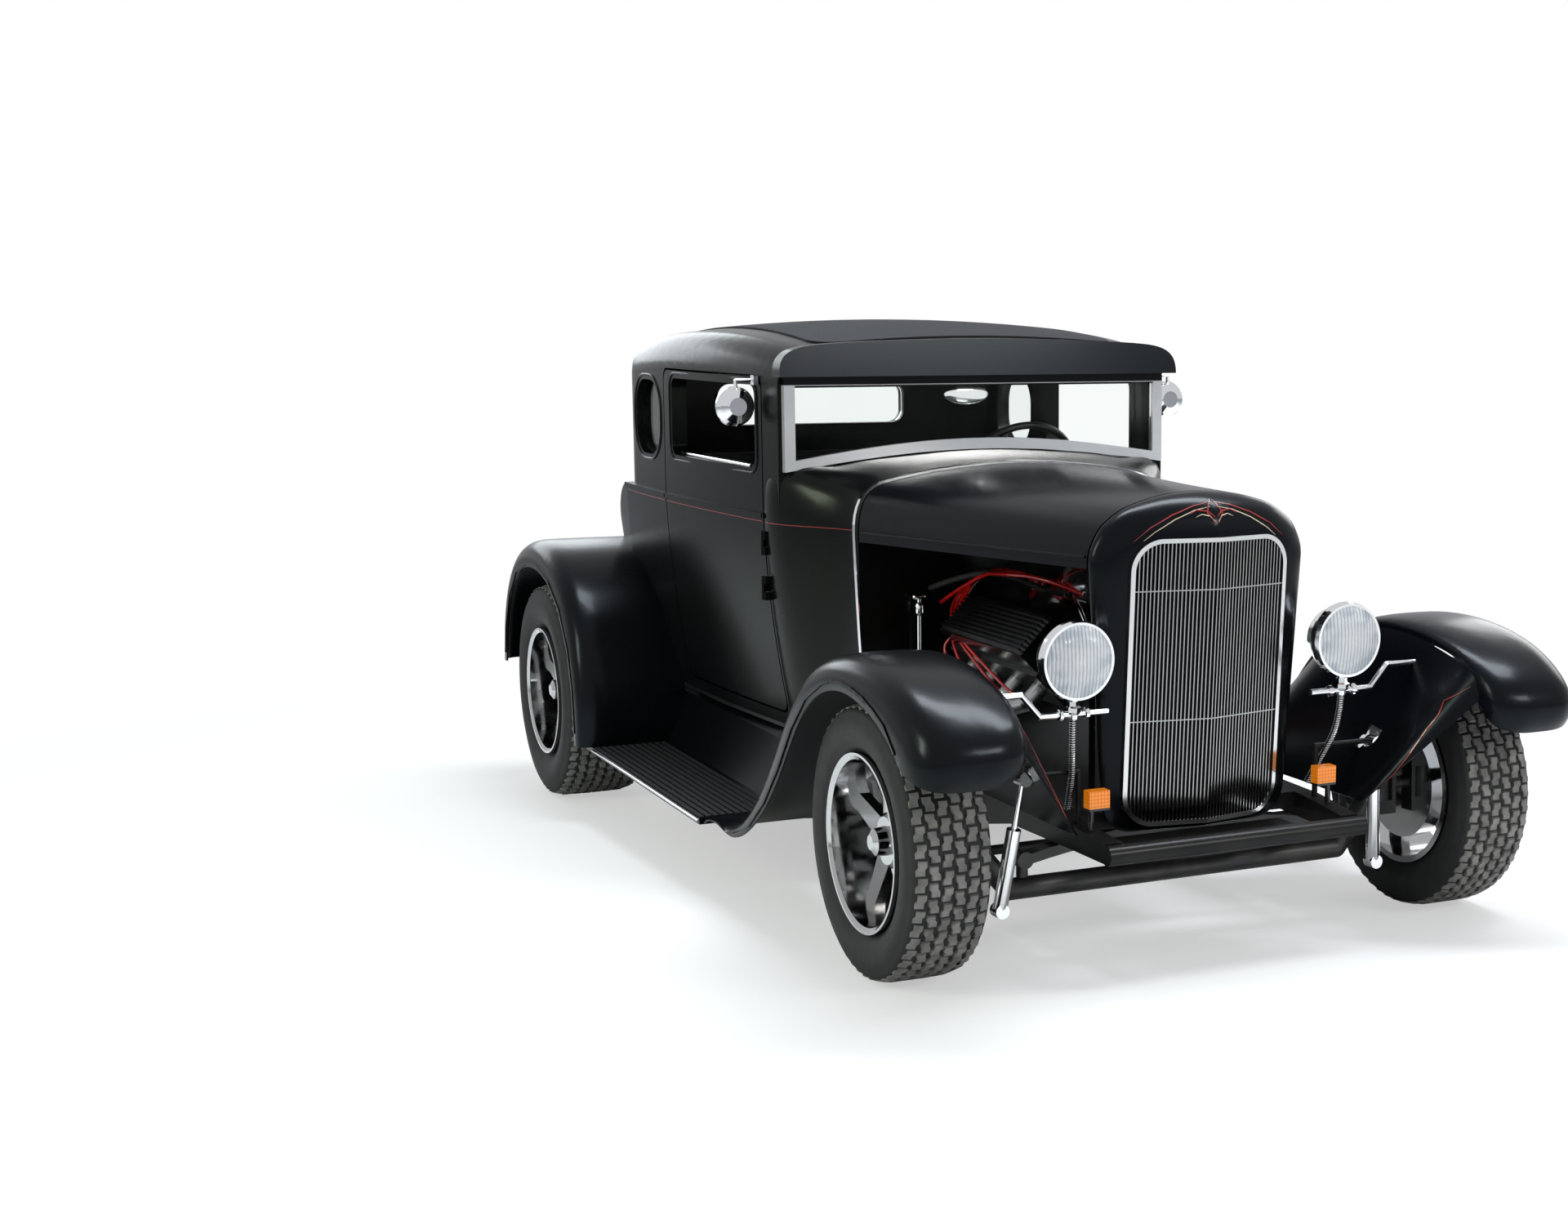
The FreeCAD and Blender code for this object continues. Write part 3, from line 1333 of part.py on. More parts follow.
def greenhouse(inset, roof_inset, low_z):
    """Everything of the cab above the belt: upright walls under a domed roof."""
    height = ROOF_TOP_Z - low_z + OVERRUN
    walls = Part.Face(cab_outline(inset, low_z)).extrude(Vector(0, 0, height))
    centre = Vector(0, ROOF_TOP_Y, ROOF_TOP_Z - ROOF_RADIUS)
    dome = Part.makeSphere(ROOF_RADIUS - roof_inset, centre)
    solid = walls.common(dome)
    rim = []
    for edge in solid.Edges:
        middle = edge.valueAt((edge.FirstParameter + edge.LastParameter) / 2)
        if middle.z > WINDOW_TOP_Z and middle.y > SCREEN_Y + BODY_WALL * 2:
            if abs(edge.Vertexes[0].Z - edge.Vertexes[-1].Z) < ROOF_SHOULDER:
                rim.append(edge)
    return solid.makeFillet(ROOF_SHOULDER - inset, rim)


def tub_section(y, half, tuck, inset, sunk, top):
    foot = Vector(half - tuck - inset, y, BODY_BOTTOM_Z)
    bulge = Vector(half - tuck * SIDE_BULGE_SHARE - inset, y, (BODY_BOTTOM_Z + BELT_Z) / 2)
    shoulder = Vector(half - inset, y, BELT_Z)
    head_point = Vector(half - inset, y, top)
    left = [foot, bulge, shoulder, head_point]
    right = [Vector(-p.x, p.y, p.z) for p in left]
    edges = [spline(right[:3])]
    if top > BELT_Z:
        edges.append(line(right[2], right[3]))
        edges.append(line(right[3], left[3]))
        edges.append(line(left[3], left[2]))
    else:
        edges.append(line(right[2], left[2]))
    edges.append(spline(left[2::-1]))
    return Part.Wire(edges + sunk_edges(left[0], right[0], sunk))


def tub_solid(inset, sunk, top, front_y, rear_y):
    wires = []
    count = 5
    for index in range(count):
        y = front_y + (rear_y - front_y) * index / (count - 1)
        wires.append(tub_section(y, side_half(y), BODY_TUCK, inset, sunk, top))
    return Part.makeLoft(wires, True, False)


TAIL_SHARES = [
    (0.0, 1.0, 1.0, 0.05),
    (0.22, 0.93, 0.975, 0.30),
    (0.45, 0.80, 0.885, 0.75),
    (0.66, 0.60, 0.725, 1.0),
    (0.84, 0.35, 0.46, 1.0),
    (0.95, 0.13, 0.19, 1.0),
    (1.0, 0.0, 0.0, 1.0),
]


def tail_solid(inset, sunk, rear_inset):
    """The rounded rear deck, from (length, width, height, corner) shares of its own sizes."""
    start_half = side_half(TAIL_START_Y)
    wires = []
    for along, wide, high, round_share in TAIL_SHARES:
        y = TAIL_START_Y + (TAIL_END_Y - TAIL_START_Y - rear_inset) * along
        half = TAIL_END_HALF + (start_half - TAIL_END_HALF) * wide - inset
        top = TAIL_END_Z + (BELT_Z - TAIL_END_Z) * high - inset
        corner = TAIL_CORNER * round_share
        low = math.sqrt(0.5)
        foot = Vector(half - BODY_TUCK * wide, y, BODY_BOTTOM_Z)
        shoulder = Vector(half, y, top - corner)
        turn = Vector(half - corner + corner * low, y, top - corner + corner * low)
        edge = Vector(half - corner, y, top)
        left = [foot, shoulder, turn, edge]
        right = [Vector(-p.x, p.y, p.z) for p in left]
        edges = [
            line(right[0], right[1]),
            arc(right[1], right[2], right[3]),
            line(right[3], left[3]),
            arc(left[3], left[2], left[1]),
            line(left[1], left[0]),
        ]
        wires.append(Part.Wire(edges + sunk_edges(left[0], right[0], sunk)))
    return Part.makeLoft(wires, True, False)


def belt_bead():
    """The narrow raised bead along the belt, from the cowl to the rear corner."""
    front_y = DOOR_FRONT_Y - PANEL_GAP
    proud = tub_solid(-BEAD_PROUD, 0, BELT_Z + OVERRUN, front_y, TAIL_START_Y)
    inner = tub_solid(BODY_WALL / 2, OVERRUN, BELT_Z + OVERRUN * 2, front_y - OVERRUN, TAIL_START_Y + OVERRUN)
    slab = block(
        Vector(-SIDE_MAX_HALF * 2, front_y - OVERRUN, BELT_Z - BEAD_HEIGHT),
        Vector(SIDE_MAX_HALF * 2, TAIL_START_Y + OVERRUN, BELT_Z + BEAD_RISE),
    )
    return proud.common(slab).cut(inner)


def body_shell():
    """Cab, tub and tail in one, hollow, before the doors, windows and lid are cut from it."""
    front_y = DOOR_FRONT_Y - PANEL_GAP
    tub = tub_solid(0, 0, BELT_Z, front_y, TAIL_START_Y)
    tub_inner = tub_solid(BODY_WALL, OVERRUN, BELT_Z + OVERRUN, front_y - OVERRUN, TAIL_START_Y + OVERRUN)
    tail = tail_solid(0, 0, 0)
    tail_inner = tail_solid(BODY_WALL / 2, OVERRUN, BODY_WALL / 2)
    tail_cut = tail_inner.copy()
    tail_cut.translate(Vector(0, -RUNNING_GAP, 0))
    upper = greenhouse(0, 0, BELT_Z)
    upper_inner = greenhouse(BODY_WALL, ROOF_WALL, BELT_Z - OVERRUN)
    lower = fused([tub, tail]).cut(tub_inner).cut(tail_cut)
    shell = lower.fuse(upper).cut(upper_inner)
    return shell


def well_drums(radius, inner_x, outer_x):
    """Drums on the rear wheels' axis, drawn in the level body."""
    centre = unraked(Vector(0, REAR_AXLE_Y, REAR_TYRE_RADIUS))
    left = rod(
        Vector(inner_x, centre.y, centre.z),
        Vector(outer_x, centre.y, centre.z),
        radius,
    )
    return pair(left)


def door_outline(inset):
    low = Vector(0, DOOR_FRONT_Y + inset, DOOR_BOTTOM_Z + inset)
    high = Vector(SIDE_MAX_HALF + OVERRUN, DOOR_REAR_Y - inset, DOOR_TOP_Z - inset)
    return rounded_plate(low, high, DOOR_CORNER, X_AXIS)


def side_window(front_y, rear_y, bottom_z, top_z, corner, inset):
    low = Vector(0, front_y - inset, bottom_z - inset)
    high = Vector(SIDE_MAX_HALF + OVERRUN, rear_y + inset, top_z + inset)
    return rounded_plate(low, high, corner, X_AXIS)


def door_window(inset):
    return side_window(
        WINDOW_FRONT_Y, WINDOW_REAR_Y, WINDOW_BOTTOM_Z, WINDOW_TOP_Z, WINDOW_CORNER, inset
    )


def quarter_window(inset):
    return side_window(
        QUARTER_FRONT_Y, QUARTER_REAR_Y, QUARTER_BOTTOM_Z, QUARTER_TOP_Z, QUARTER_CORNER, inset
    )


def rear_window(inset):
    low = Vector(-REAR_WINDOW_HALF - inset, CAB_CORNER_Y, REAR_WINDOW_BOTTOM_Z - inset)
    high = Vector(REAR_WINDOW_HALF + inset, CAB_REAR_Y + OVERRUN, REAR_WINDOW_TOP_Z + inset)
    return rounded_plate(low, high, REAR_WINDOW_CORNER, Y_AXIS)


def screen_cut():
    """The windscreen opening between the two posts, from the cowl top to the header."""
    half = SCREEN_FRAME_HALF - SCREEN_POST
    return block(
        Vector(-half, SCREEN_Y - OVERRUN, BELT_Z - OVERRUN),
        Vector(half, SCREEN_Y + BODY_WALL * 2, SCREEN_TOP_Z - SCREEN_RAIL),
    )


def lid_outline(inset):
    low = Vector(-LID_HALF + inset, LID_FRONT_Y + inset, LID_BOTTOM_Z + inset)
    high = Vector(LID_HALF - inset, TAIL_END_Y + OVERRUN, BELT_Z + OVERRUN)
    return rounded_plate(low, high, LID_CORNER, Y_AXIS)


def cab_shell(body):
    shell = fused([body, belt_bead()])
    well = REAR_WELL_RADIUS + REAR_WELL_WALL
    houses = well_drums(well, REAR_WELL_X, SIDE_MAX_HALF - BODY_WALL / 4)
    bay = tub_solid(RUNNING_GAP, OVERRUN, BELT_Z, CAB_CORNER_Y - BODY_WALL, TAIL_START_Y)
    bay = bay.fuse(tail_solid(RUNNING_GAP, OVERRUN, RUNNING_GAP))
    houses = [house.common(bay) for house in houses]
    shell = fused([shell] + houses)
    tools = well_drums(REAR_WELL_RADIUS, REAR_WELL_X + REAR_WELL_WALL, SIDE_MAX_HALF + OVERRUN)
    tools += pair(door_outline(0)) + pair(quarter_window(0))
    tools += [rear_window(0), screen_cut(), lid_outline(0), cowl_solid(-RUNNING_GAP, COWL_FRONT_Y, OVERRUN)]
    for tool in tools:
        shell = shell.cut(tool)
    shell = shell.cut(cowl_solid(COWL_WALL, COWL_FRONT_Y, OVERRUN))
    shell = shell.cut(cowl_solid(0, COWL_FRONT_Y, 0))
    leaves = []
    for x in (-LID_HINGE_X, LID_HINGE_X):
        shell = shell.cut(lid_knuckle(x, -LID_KNUCKLE, LID_KNUCKLE, LID_HINGE_RADIUS + PIN_CLEARANCE))
        leaves.append(lid_leaf(x, -LID_KNUCKLE * 2, -LID_KNUCKLE - RUNNING_GAP, -1))
        leaves.append(lid_leaf(x, LID_KNUCKLE + RUNNING_GAP, LID_KNUCKLE * 2, -1))
    shell = fused([shell] + leaves)
    floor_room = block(
        Vector(-SIDE_MAX_HALF, SCREEN_Y, BODY_BOTTOM_Z - OVERRUN * 2),
        Vector(SIDE_MAX_HALF, TAIL_END_Y + OVERRUN, BODY_BOTTOM_Z + RUNNING_GAP),
    )
    return shell.cut(floor_room)


def largest(shape):
    return max(shape.Solids, key=lambda solid: solid.Volume)


def hinge_centre_x():
    return side_half(DOOR_FRONT_Y) + HINGE_PROUD


def hinge_leaf(x, low, high, side, way):
    """One knuckle of a door hinge with its web to the panel ahead (-1) or behind (1)."""
    y = DOOR_FRONT_Y - PANEL_GAP / 2
    barrel = rod(Vector(x, y, low), Vector(x, y, high), HINGE_RADIUS)
    reach = HINGE_RADIUS * 3
    web_in = x - side * HINGE_REACH
    y_far = y + way * reach
    web = block(
        Vector(min(x, web_in), min(y, y_far), low),
        Vector(max(x, web_in), max(y, y_far), high),
    )
    near_cut = y + way * (PANEL_GAP / 2)
    keep_low = min(y_far, near_cut)
    web_inner = block(
        Vector(min(x, web_in), keep_low, low),
        Vector(max(x, web_in), max(y_far, near_cut), high),
    )
    strap = block(
        Vector(min(x, x - side * HINGE_RADIUS), min(y, y_far), low),
        Vector(max(x, x - side * HINGE_RADIUS), max(y, y_far), high),
    )
    return fused([barrel, web.common(web_inner), strap])


def door(body):
    """The left door: the whole thickness of the body wall, with its window cut."""
    inside = door_outline(PANEL_GAP)
    panel = body.fuse(belt_bead()).common(inside)
    panel = largest(panel.cut(door_window(0)))
    pieces = [panel]
    for z in HINGE_HEIGHTS:
        pieces.append(hinge_leaf(hinge_centre_x(), z, z + HINGE_LENGTH, 1, 1))
    return fused(pieces)


def mirror_unit():
    """A round mirror on a bent arm that is clamped to the door's window frame."""
    centre = Vector(MIRROR_X, MIRROR_Y, MIRROR_Z)
    profile = [
        (-MIRROR_DEPTH / 2, 0),
        (-MIRROR_DEPTH / 2, MIRROR_RADIUS * MIRROR_CROWN_SHARE),
        (-MIRROR_DEPTH / 4, MIRROR_RADIUS * MIRROR_SHOULDER_SHARE),
        (MIRROR_DEPTH / 4, MIRROR_RADIUS),
        (MIRROR_DEPTH / 2, MIRROR_RADIUS),
        (MIRROR_DEPTH / 2, 0),
    ]
    head_piece = spun_about_y(profile, centre)
    top_z = (WINDOW_TOP_Z + DOOR_TOP_Z) / 2
    clamp_y = DOOR_FRONT_Y + MIRROR_CLAMP
    clamp_x = side_half(clamp_y + MIRROR_CLAMP / 2) + RUNNING_GAP
    arm = bent_tube(
        [
            centre.add(Vector(0, 0, MIRROR_RADIUS / 2)),
            Vector(MIRROR_X, clamp_y - MIRROR_CLAMP / 2, top_z),
            Vector(clamp_x, clamp_y, top_z),
        ],
        MIRROR_ARM_RADIUS,
    )
    clamp = block(
        Vector(clamp_x, clamp_y - MIRROR_CLAMP / 2, top_z - MIRROR_CLAMP / 2),
        Vector(clamp_x + MIRROR_CLAMP / 2, clamp_y + MIRROR_CLAMP / 2, top_z + MIRROR_CLAMP / 2),
    )
    return fused([head_piece, arm, clamp])


def lid_knuckle(x, start, end, radius):
    """A length of hinge barrel across the car, over the gap ahead of the lid."""
    centre = Vector(x, LID_FRONT_Y + PANEL_GAP / 2, LID_HINGE_Z)
    return rod(centre.add(Vector(start, 0, 0)), centre.add(Vector(end, 0, 0)), radius)


def lid_leaf(x, start, end, way):
    """A knuckle of a lid hinge with its web to the body ahead (-1) or the lid behind (1)."""
    near = LID_FRONT_Y + PANEL_GAP / 2 + way * PANEL_GAP / 2
    far = near + way * LID_HINGE_RADIUS * 3
    web = block(
        Vector(x + start, min(near, far), LID_HINGE_Z - LID_HINGE_RADIUS * 3),
        Vector(x + end, max(near, far), LID_HINGE_Z),
    )
    return fused([lid_knuckle(x, start, end, LID_HINGE_RADIUS), web])


def deck_lid():
    skin = tail_solid(0, 0, 0).cut(tail_solid(BODY_WALL / 2, OVERRUN, BODY_WALL / 2))
    lid = largest(skin.common(lid_outline(PANEL_GAP)))
    span = LID_KNUCKLE * 2 + PIN_CLEARANCE
    leaves = []
    for x in (-LID_HINGE_X, LID_HINGE_X):
        lid = lid.cut(lid_knuckle(x, -span, span, LID_HINGE_RADIUS + PIN_CLEARANCE))
        leaves.append(lid_leaf(x, -LID_KNUCKLE, LID_KNUCKLE, 1))
    return fused([lid] + leaves)


def roof_insert():
    low = Vector(-ROOF_INSERT_HALF, ROOF_INSERT_FRONT_Y, DOOR_TOP_Z)
    high = Vector(ROOF_INSERT_HALF, ROOF_INSERT_REAR_Y, ROOF_TOP_Z + OVERRUN)
    area = rounded_plate(low, high, ROOF_INSERT_CORNER, Z_AXIS)
    centre = Vector(0, ROOF_TOP_Y, ROOF_TOP_Z - ROOF_RADIUS)
    outer = Part.makeSphere(ROOF_RADIUS + ROOF_INSERT_SHEET, centre)
    inner = Part.makeSphere(ROOF_RADIUS + RUNNING_GAP, centre)
    return area.common(outer).cut(inner)


def roof_z(y):
    drop = ROOF_RADIUS - math.sqrt(ROOF_RADIUS ** 2 - (y - ROOF_TOP_Y) ** 2)
    return ROOF_TOP_Z - drop


VISOR_SHARES = [
    (1.0, 0.0),
    (0.999, 0.22),
    (0.988, 0.44),
    (0.962, 0.62),
    (0.915, 0.755),
    (0.82, 0.85),
    (0.65, 0.915),
    (0.45, 0.96),
    (0.23, 0.99),
]


def visor_prism(inset, front_y, rear_y):
    half = side_half(SCREEN_Y) + VISOR_SIDE - inset
    top = roof_z(SCREEN_Y) - inset
    points = arch_points(VISOR_SHARES, half, VISOR_BOTTOM_Z, top, front_y)
    edges = [spline(points), line(points[-1], points[0])]
    return Part.Face(Part.Wire(edges)).extrude(Vector(0, rear_y - front_y, 0))


def visor():
    """The fixed sun visor ahead of the windscreen header, open below."""
    front = SCREEN_Y - VISOR_REACH - VISOR_SLOPE
    rear = SCREEN_Y - RUNNING_GAP
    outer = visor_prism(0, front, rear)
    top = ROOF_TOP_Z
    shave = prism(
        [
            Vector(-SIDE_MAX_HALF, front - OVERRUN, VISOR_BOTTOM_Z - RUNNING_GAP),
            Vector(-SIDE_MAX_HALF, front, VISOR_BOTTOM_Z - RUNNING_GAP),
            Vector(-SIDE_MAX_HALF, front + VISOR_SLOPE, top),
            Vector(-SIDE_MAX_HALF, front - OVERRUN, top),
        ],
        Vector(SIDE_MAX_HALF * 2, 0, 0),
    )
    hollow = visor_prism(VISOR_SHEET, front + VISOR_SHEET + VISOR_SLOPE, rear + OVERRUN)
    lowered = hollow.copy()
    lowered.translate(Vector(0, 0, -VISOR_SHEET))
    return outer.cut(shave).cut(hollow).cut(lowered)


def screen_outline(inset, y):
    """The windscreen frame's outline: a bottom rail that follows the cowl, straight sides and top."""
    half = SCREEN_FRAME_HALF - inset
    top = SCREEN_TOP_Z - inset
    points = []
    for across, up in SCREEN_RAIL_SHARES:
        z = BELT_Z + (SCREEN_BASE_Z - BELT_Z) * up + inset
        points.append(Vector(half * across, y, z))
    right = [Vector(-p.x, p.y, p.z) for p in points[::-1]]
    bottom = points + right[1:]
    edges = [
        spline(bottom),
        line(bottom[-1], Vector(-half, y, top)),
        line(Vector(-half, y, top), Vector(half, y, top)),
        line(Vector(half, y, top), bottom[0]),
    ]
    return Part.Wire(edges)


SCREEN_RAIL_SHARES = [(1.0, 0.708), (0.65, 0.868), (0.3, 0.975), (0.0, 1.004)]


def windshield_frame():
    front = SCREEN_Y - SCREEN_FRAME_DEPTH
    depth = Vector(0, SCREEN_FRAME_DEPTH - RUNNING_GAP, 0)
    outer = Part.Face(screen_outline(0, front)).extrude(depth)
    inner = Part.Face(screen_outline(SCREEN_POST, front - OVERRUN)).extrude(
        depth.add(Vector(0, OVERRUN * 2, 0))
    )
    ring = outer.cut(inner)
    return ring.cut(cowl_solid(-RUNNING_GAP, COWL_FRONT_Y, OVERRUN))


def window_glass():
    """Windscreen, rear and quarter panes. The door windows are wound down, as in the photo."""
    middle = SCREEN_Y - SCREEN_FRAME_DEPTH / 2
    screen = Part.Face(screen_outline(SCREEN_POST + RUNNING_GAP, middle)).extrude(
        Vector(0, GLASS_SHEET, 0)
    )
    band = greenhouse(BODY_WALL / 2, ROOF_WALL, BELT_Z).cut(
        greenhouse(BODY_WALL / 2 + GLASS_SHEET, ROOF_WALL, BELT_Z - OVERRUN)
    )
    panes = [screen, band.common(rear_window(-RUNNING_GAP))]
    quarter = band.common(quarter_window(-RUNNING_GAP))
    return panes + pair(quarter)


# Fenders and boards

# Shares of each fender's length and height, front to back, for its lip, crown and inner edge
FRONT_LIP_SHARES = [
    (0.0917, 0.7557),
    (0.104, 0.7787),
    (0.1574, 0.8381),
    (0.2341, 0.8839),
    (0.3094, 0.8974),
    (0.3847, 0.8718),
    (0.4497, 0.8124),
    (0.5147, 0.7018),
    (0.5832, 0.5506),
    (0.6516, 0.4184),
    (0.7337, 0.305),
    (0.8535, 0.224),
    (1.0, 0.2051),
]
FRONT_CROWN_SHARES = [
    (0.0192, 0.6937),
    (0.0, 0.776),
    (0.039, 0.8839),
    (0.152, 0.9744),
    (0.2957, 1.0),
    (0.412, 0.9663),
    (0.5079, 0.8839),
    (0.5934, 0.7355),
    (0.6619, 0.5735),
    (0.7337, 0.4184),
    (0.809, 0.3036),
    (0.9049, 0.2321),
    (1.0, 0.2186),
]
FRONT_INNER_SHARES = [
    (0.0548, 0.7962),
    (0.0589, 0.8367),
    (0.104, 0.9015),
    (0.1999, 0.9447),
    (0.3025, 0.9609),
    (0.4052, 0.9312),
    (0.4976, 0.8529),
    (0.5832, 0.7085),
    (0.6516, 0.5533),
    (0.7235, 0.4049),
    (0.7988, 0.2996),
    (0.898, 0.2321),
    (1.0, 0.2186),
]
REAR_LIP_SHARES = [
    (0.0584, 0.2189),
    (0.0704, 0.4405),
    (0.1127, 0.6014),
    (0.2052, 0.7541),
    (0.326, 0.8486),
    (0.4618, 0.8905),
    (0.6076, 0.8865),
    (0.7334, 0.8324),
    (0.839, 0.7162),
    (0.9044, 0.5676),
    (0.9316, 0.4054),
]
REAR_CROWN_SHARES = [
    (0.0, 0.2189),
    (0.008, 0.473),
    (0.0543, 0.6622),
    (0.1549, 0.8351),
    (0.2958, 0.9486),
    (0.4618, 1.0),
    (0.6328, 0.9946),
    (0.7887, 0.9243),
    (0.9115, 0.7892),
    (0.9819, 0.6081),
    (1.0, 0.4054),
]
# Share of the way from crown to lip or inner edge, across and down, for each point of a section
FENDER_OUT_SHARES = [(1.0, 1.0), (1.0, 0.62), (0.93, 0.34), (0.70, 0.10), (0.36, 0.01)]
FENDER_IN_SHARES = [(0.36, 0.02), (0.72, 0.16), (0.95, 0.52), (1.0, 1.0)]


def front_stations(shares):
    start = FRONT_FENDER_START_Y
    return [(start + along * FRONT_FENDER_LENGTH, up * FRONT_FENDER_HEIGHT) for along, up in shares]


def rear_stations(shares):
    start = REAR_FENDER_START_Y
    return [(start + along * REAR_FENDER_LENGTH, up * REAR_FENDER_HEIGHT) for along, up in shares]


def fender_row(lip, crown, inner, lip_x, crown_x, inner_x):
    """One section over a fender, from its outer lip over the crown to its inner edge."""
    row = []
    for across, down in FENDER_OUT_SHARES:
        x = crown_x + (lip_x - crown_x) * across
        row.append(blend_point(crown, lip, x, down))
    row.append(Vector(crown_x, crown[0], crown[1]))
    for across, down in FENDER_IN_SHARES:
        x = crown_x + (inner_x - crown_x) * across
        row.append(blend_point(crown, inner, x, down))
    return row


def blend_point(start, end, x, share):
    y = start[0] + (end[0] - start[0]) * share
    z = start[1] + (end[1] - start[1]) * share
    return Vector(x, y, z)


def front_fender():
    """The left front fender with the apron that drops from its inner edge to the frame."""
    grid = []
    lips = front_stations(FRONT_LIP_SHARES)
    crowns = front_stations(FRONT_CROWN_SHARES)
    inners = front_stations(FRONT_INNER_SHARES)
    for lip, crown, inner in zip(lips, crowns, inners):
        row = fender_row(
            lip, crown, inner, FRONT_FENDER_LIP_X, FRONT_FENDER_CROWN_X, FRONT_FENDER_INNER_X
        )
        grid.append(row)
    wing = sheet(grid, FENDER_SHEET)
    apron_grid = []
    foot_z = RAIL_TOP_Z + RUNNING_GAP
    for share in APRON_SHARES:
        row = []
        for inner in inners[:APRON_STATIONS]:
            x = FRONT_FENDER_INNER_X + (APRON_FOOT_X - FRONT_FENDER_INNER_X) * share
            y = inner[0] + (apron_foot_y(inner[0], inners) - inner[0]) * share
            z = inner[1] + (foot_z - inner[1]) * share
            row.append(Vector(x, y, z))
        apron_grid.append(row)
    apron = sheet(apron_grid[::-1], FENDER_SHEET)
    low = unraked(Vector(SHOCK_LOW_X, SHOCK_LOW_Y, SHOCK_LOW_Z))
    high = unraked(Vector(SHOCK_HIGH_X, SHOCK_HIGH_Y, SHOCK_HIGH_Z))
    past = high.add(high.sub(low).multiply(APRON_SLOT_SHARE))
    apron = apron.cut(rod(low, past, SHOCK_RADIUS + APRON_CLEARANCE))
    bracket = high.add(Vector(0, SHOCK_EYE_LENGTH / 2 + SHOCK_ROD_RADIUS + RUNNING_GAP, 0))
    apron = apron.cut(rod(Vector(0, bracket.y, bracket.z), bracket, SHOCK_ROD_RADIUS + APRON_CLEARANCE))
    bar = Vector(FRONT_FENDER_INNER_X, LAMP_BAR_Y, LAMP_BAR_END_Z)
    apron = apron.cut(rod(Vector(0, bar.y, bar.z), bar, LAMP_BAR_RADIUS + RUNNING_GAP))
    return [wing, largest(apron)]


def apron_foot_y(y, inners):
    """The apron's foot is spread along the frame, from just behind the horn's end."""
    first = inners[0][0]
    last = inners[APRON_STATIONS - 1][0]
    front = RAIL_FRONT_Y + RAIL_WIDTH
    return front + (y - first) * (last - front) / (last - first)


def rear_fender(body_form):
    grid = []
    for lip, crown in zip(rear_stations(REAR_LIP_SHARES), rear_stations(REAR_CROWN_SHARES)):
        inner = (crown[0], crown[1] - FENDER_SHEET)
        row = fender_row(
            lip, crown, inner, REAR_FENDER_LIP_X, REAR_FENDER_CROWN_X, REAR_FENDER_INNER_X
        )
        grid.append(row)
    wing = sheet(grid, FENDER_SHEET).cut(body_form)
    floor_room = block(
        Vector(0, DOOR_FRONT_Y, 0),
        Vector(side_half(CAB_CORNER_Y), TAIL_END_Y, BODY_BOTTOM_Z + RUNNING_GAP),
    )
    sunk_form = tub_solid(0, OVERRUN, BELT_Z, DOOR_FRONT_Y, TAIL_START_Y)
    return largest(wing.cut(floor_room.common(sunk_form)))


def running_board():
    """The left board with its rolled outer edge, and the splash apron up to the body."""
    points = [
        Vector(SPLASH_TOP_X, BOARD_FRONT_Y, BODY_BOTTOM_Z - FLOOR_SHEET - RUNNING_GAP),
        Vector(SPLASH_ROLL_X - BOARD_LIP, BOARD_FRONT_Y, SPLASH_ROLL_Z + BOARD_LIP),
        Vector(SPLASH_ROLL_X, BOARD_FRONT_Y, SPLASH_ROLL_Z - BOARD_LIP),
        Vector(BOARD_INNER_X, BOARD_FRONT_Y, BOARD_TOP_Z),
        Vector(BOARD_OUTER_X, BOARD_FRONT_Y, BOARD_TOP_Z),
        Vector(BOARD_OUTER_X, BOARD_FRONT_Y, BOARD_TOP_Z - BOARD_THICKNESS),
        Vector(BOARD_INNER_X - BOARD_THICKNESS / 2, BOARD_FRONT_Y, BOARD_TOP_Z - BOARD_THICKNESS),
        Vector(SPLASH_ROLL_X - BOARD_THICKNESS, BOARD_FRONT_Y, SPLASH_ROLL_Z - BOARD_LIP),
        Vector(SPLASH_TOP_X - BOARD_LIP, BOARD_FRONT_Y, SPLASH_ROLL_Z + BOARD_LIP),
    ]
    run = BOARD_REAR_Y - BOARD_FRONT_Y - RUNNING_GAP
    board = prism(points, Vector(0, run, 0))
    hanger_top = RAIL_TOP_Z - RAIL_WIDTH
    start_x = RAIL_REAR_HALF + RUNNING_GAP
    hanger = [
        Vector(start_x, 0, hanger_top),
        Vector(BOARD_INNER_X, 0, BOARD_TOP_Z - BOARD_THICKNESS / 2),
        Vector(BOARD_INNER_X, 0, BOARD_TOP_Z - BOARD_THICKNESS),
        Vector(start_x, 0, hanger_top - RAIL_WIDTH),
    ]
    pieces = [board]
    for share in BOARD_HANGER_SHARES:
        y = BOARD_FRONT_Y + (BOARD_REAR_Y - BOARD_FRONT_Y) * share
        strut = prism(hanger, Vector(0, HANGER_WIDTH, 0))
        strut.translate(Vector(0, y, 0))
        pieces.append(strut)
    return fused(pieces)


# Lamps


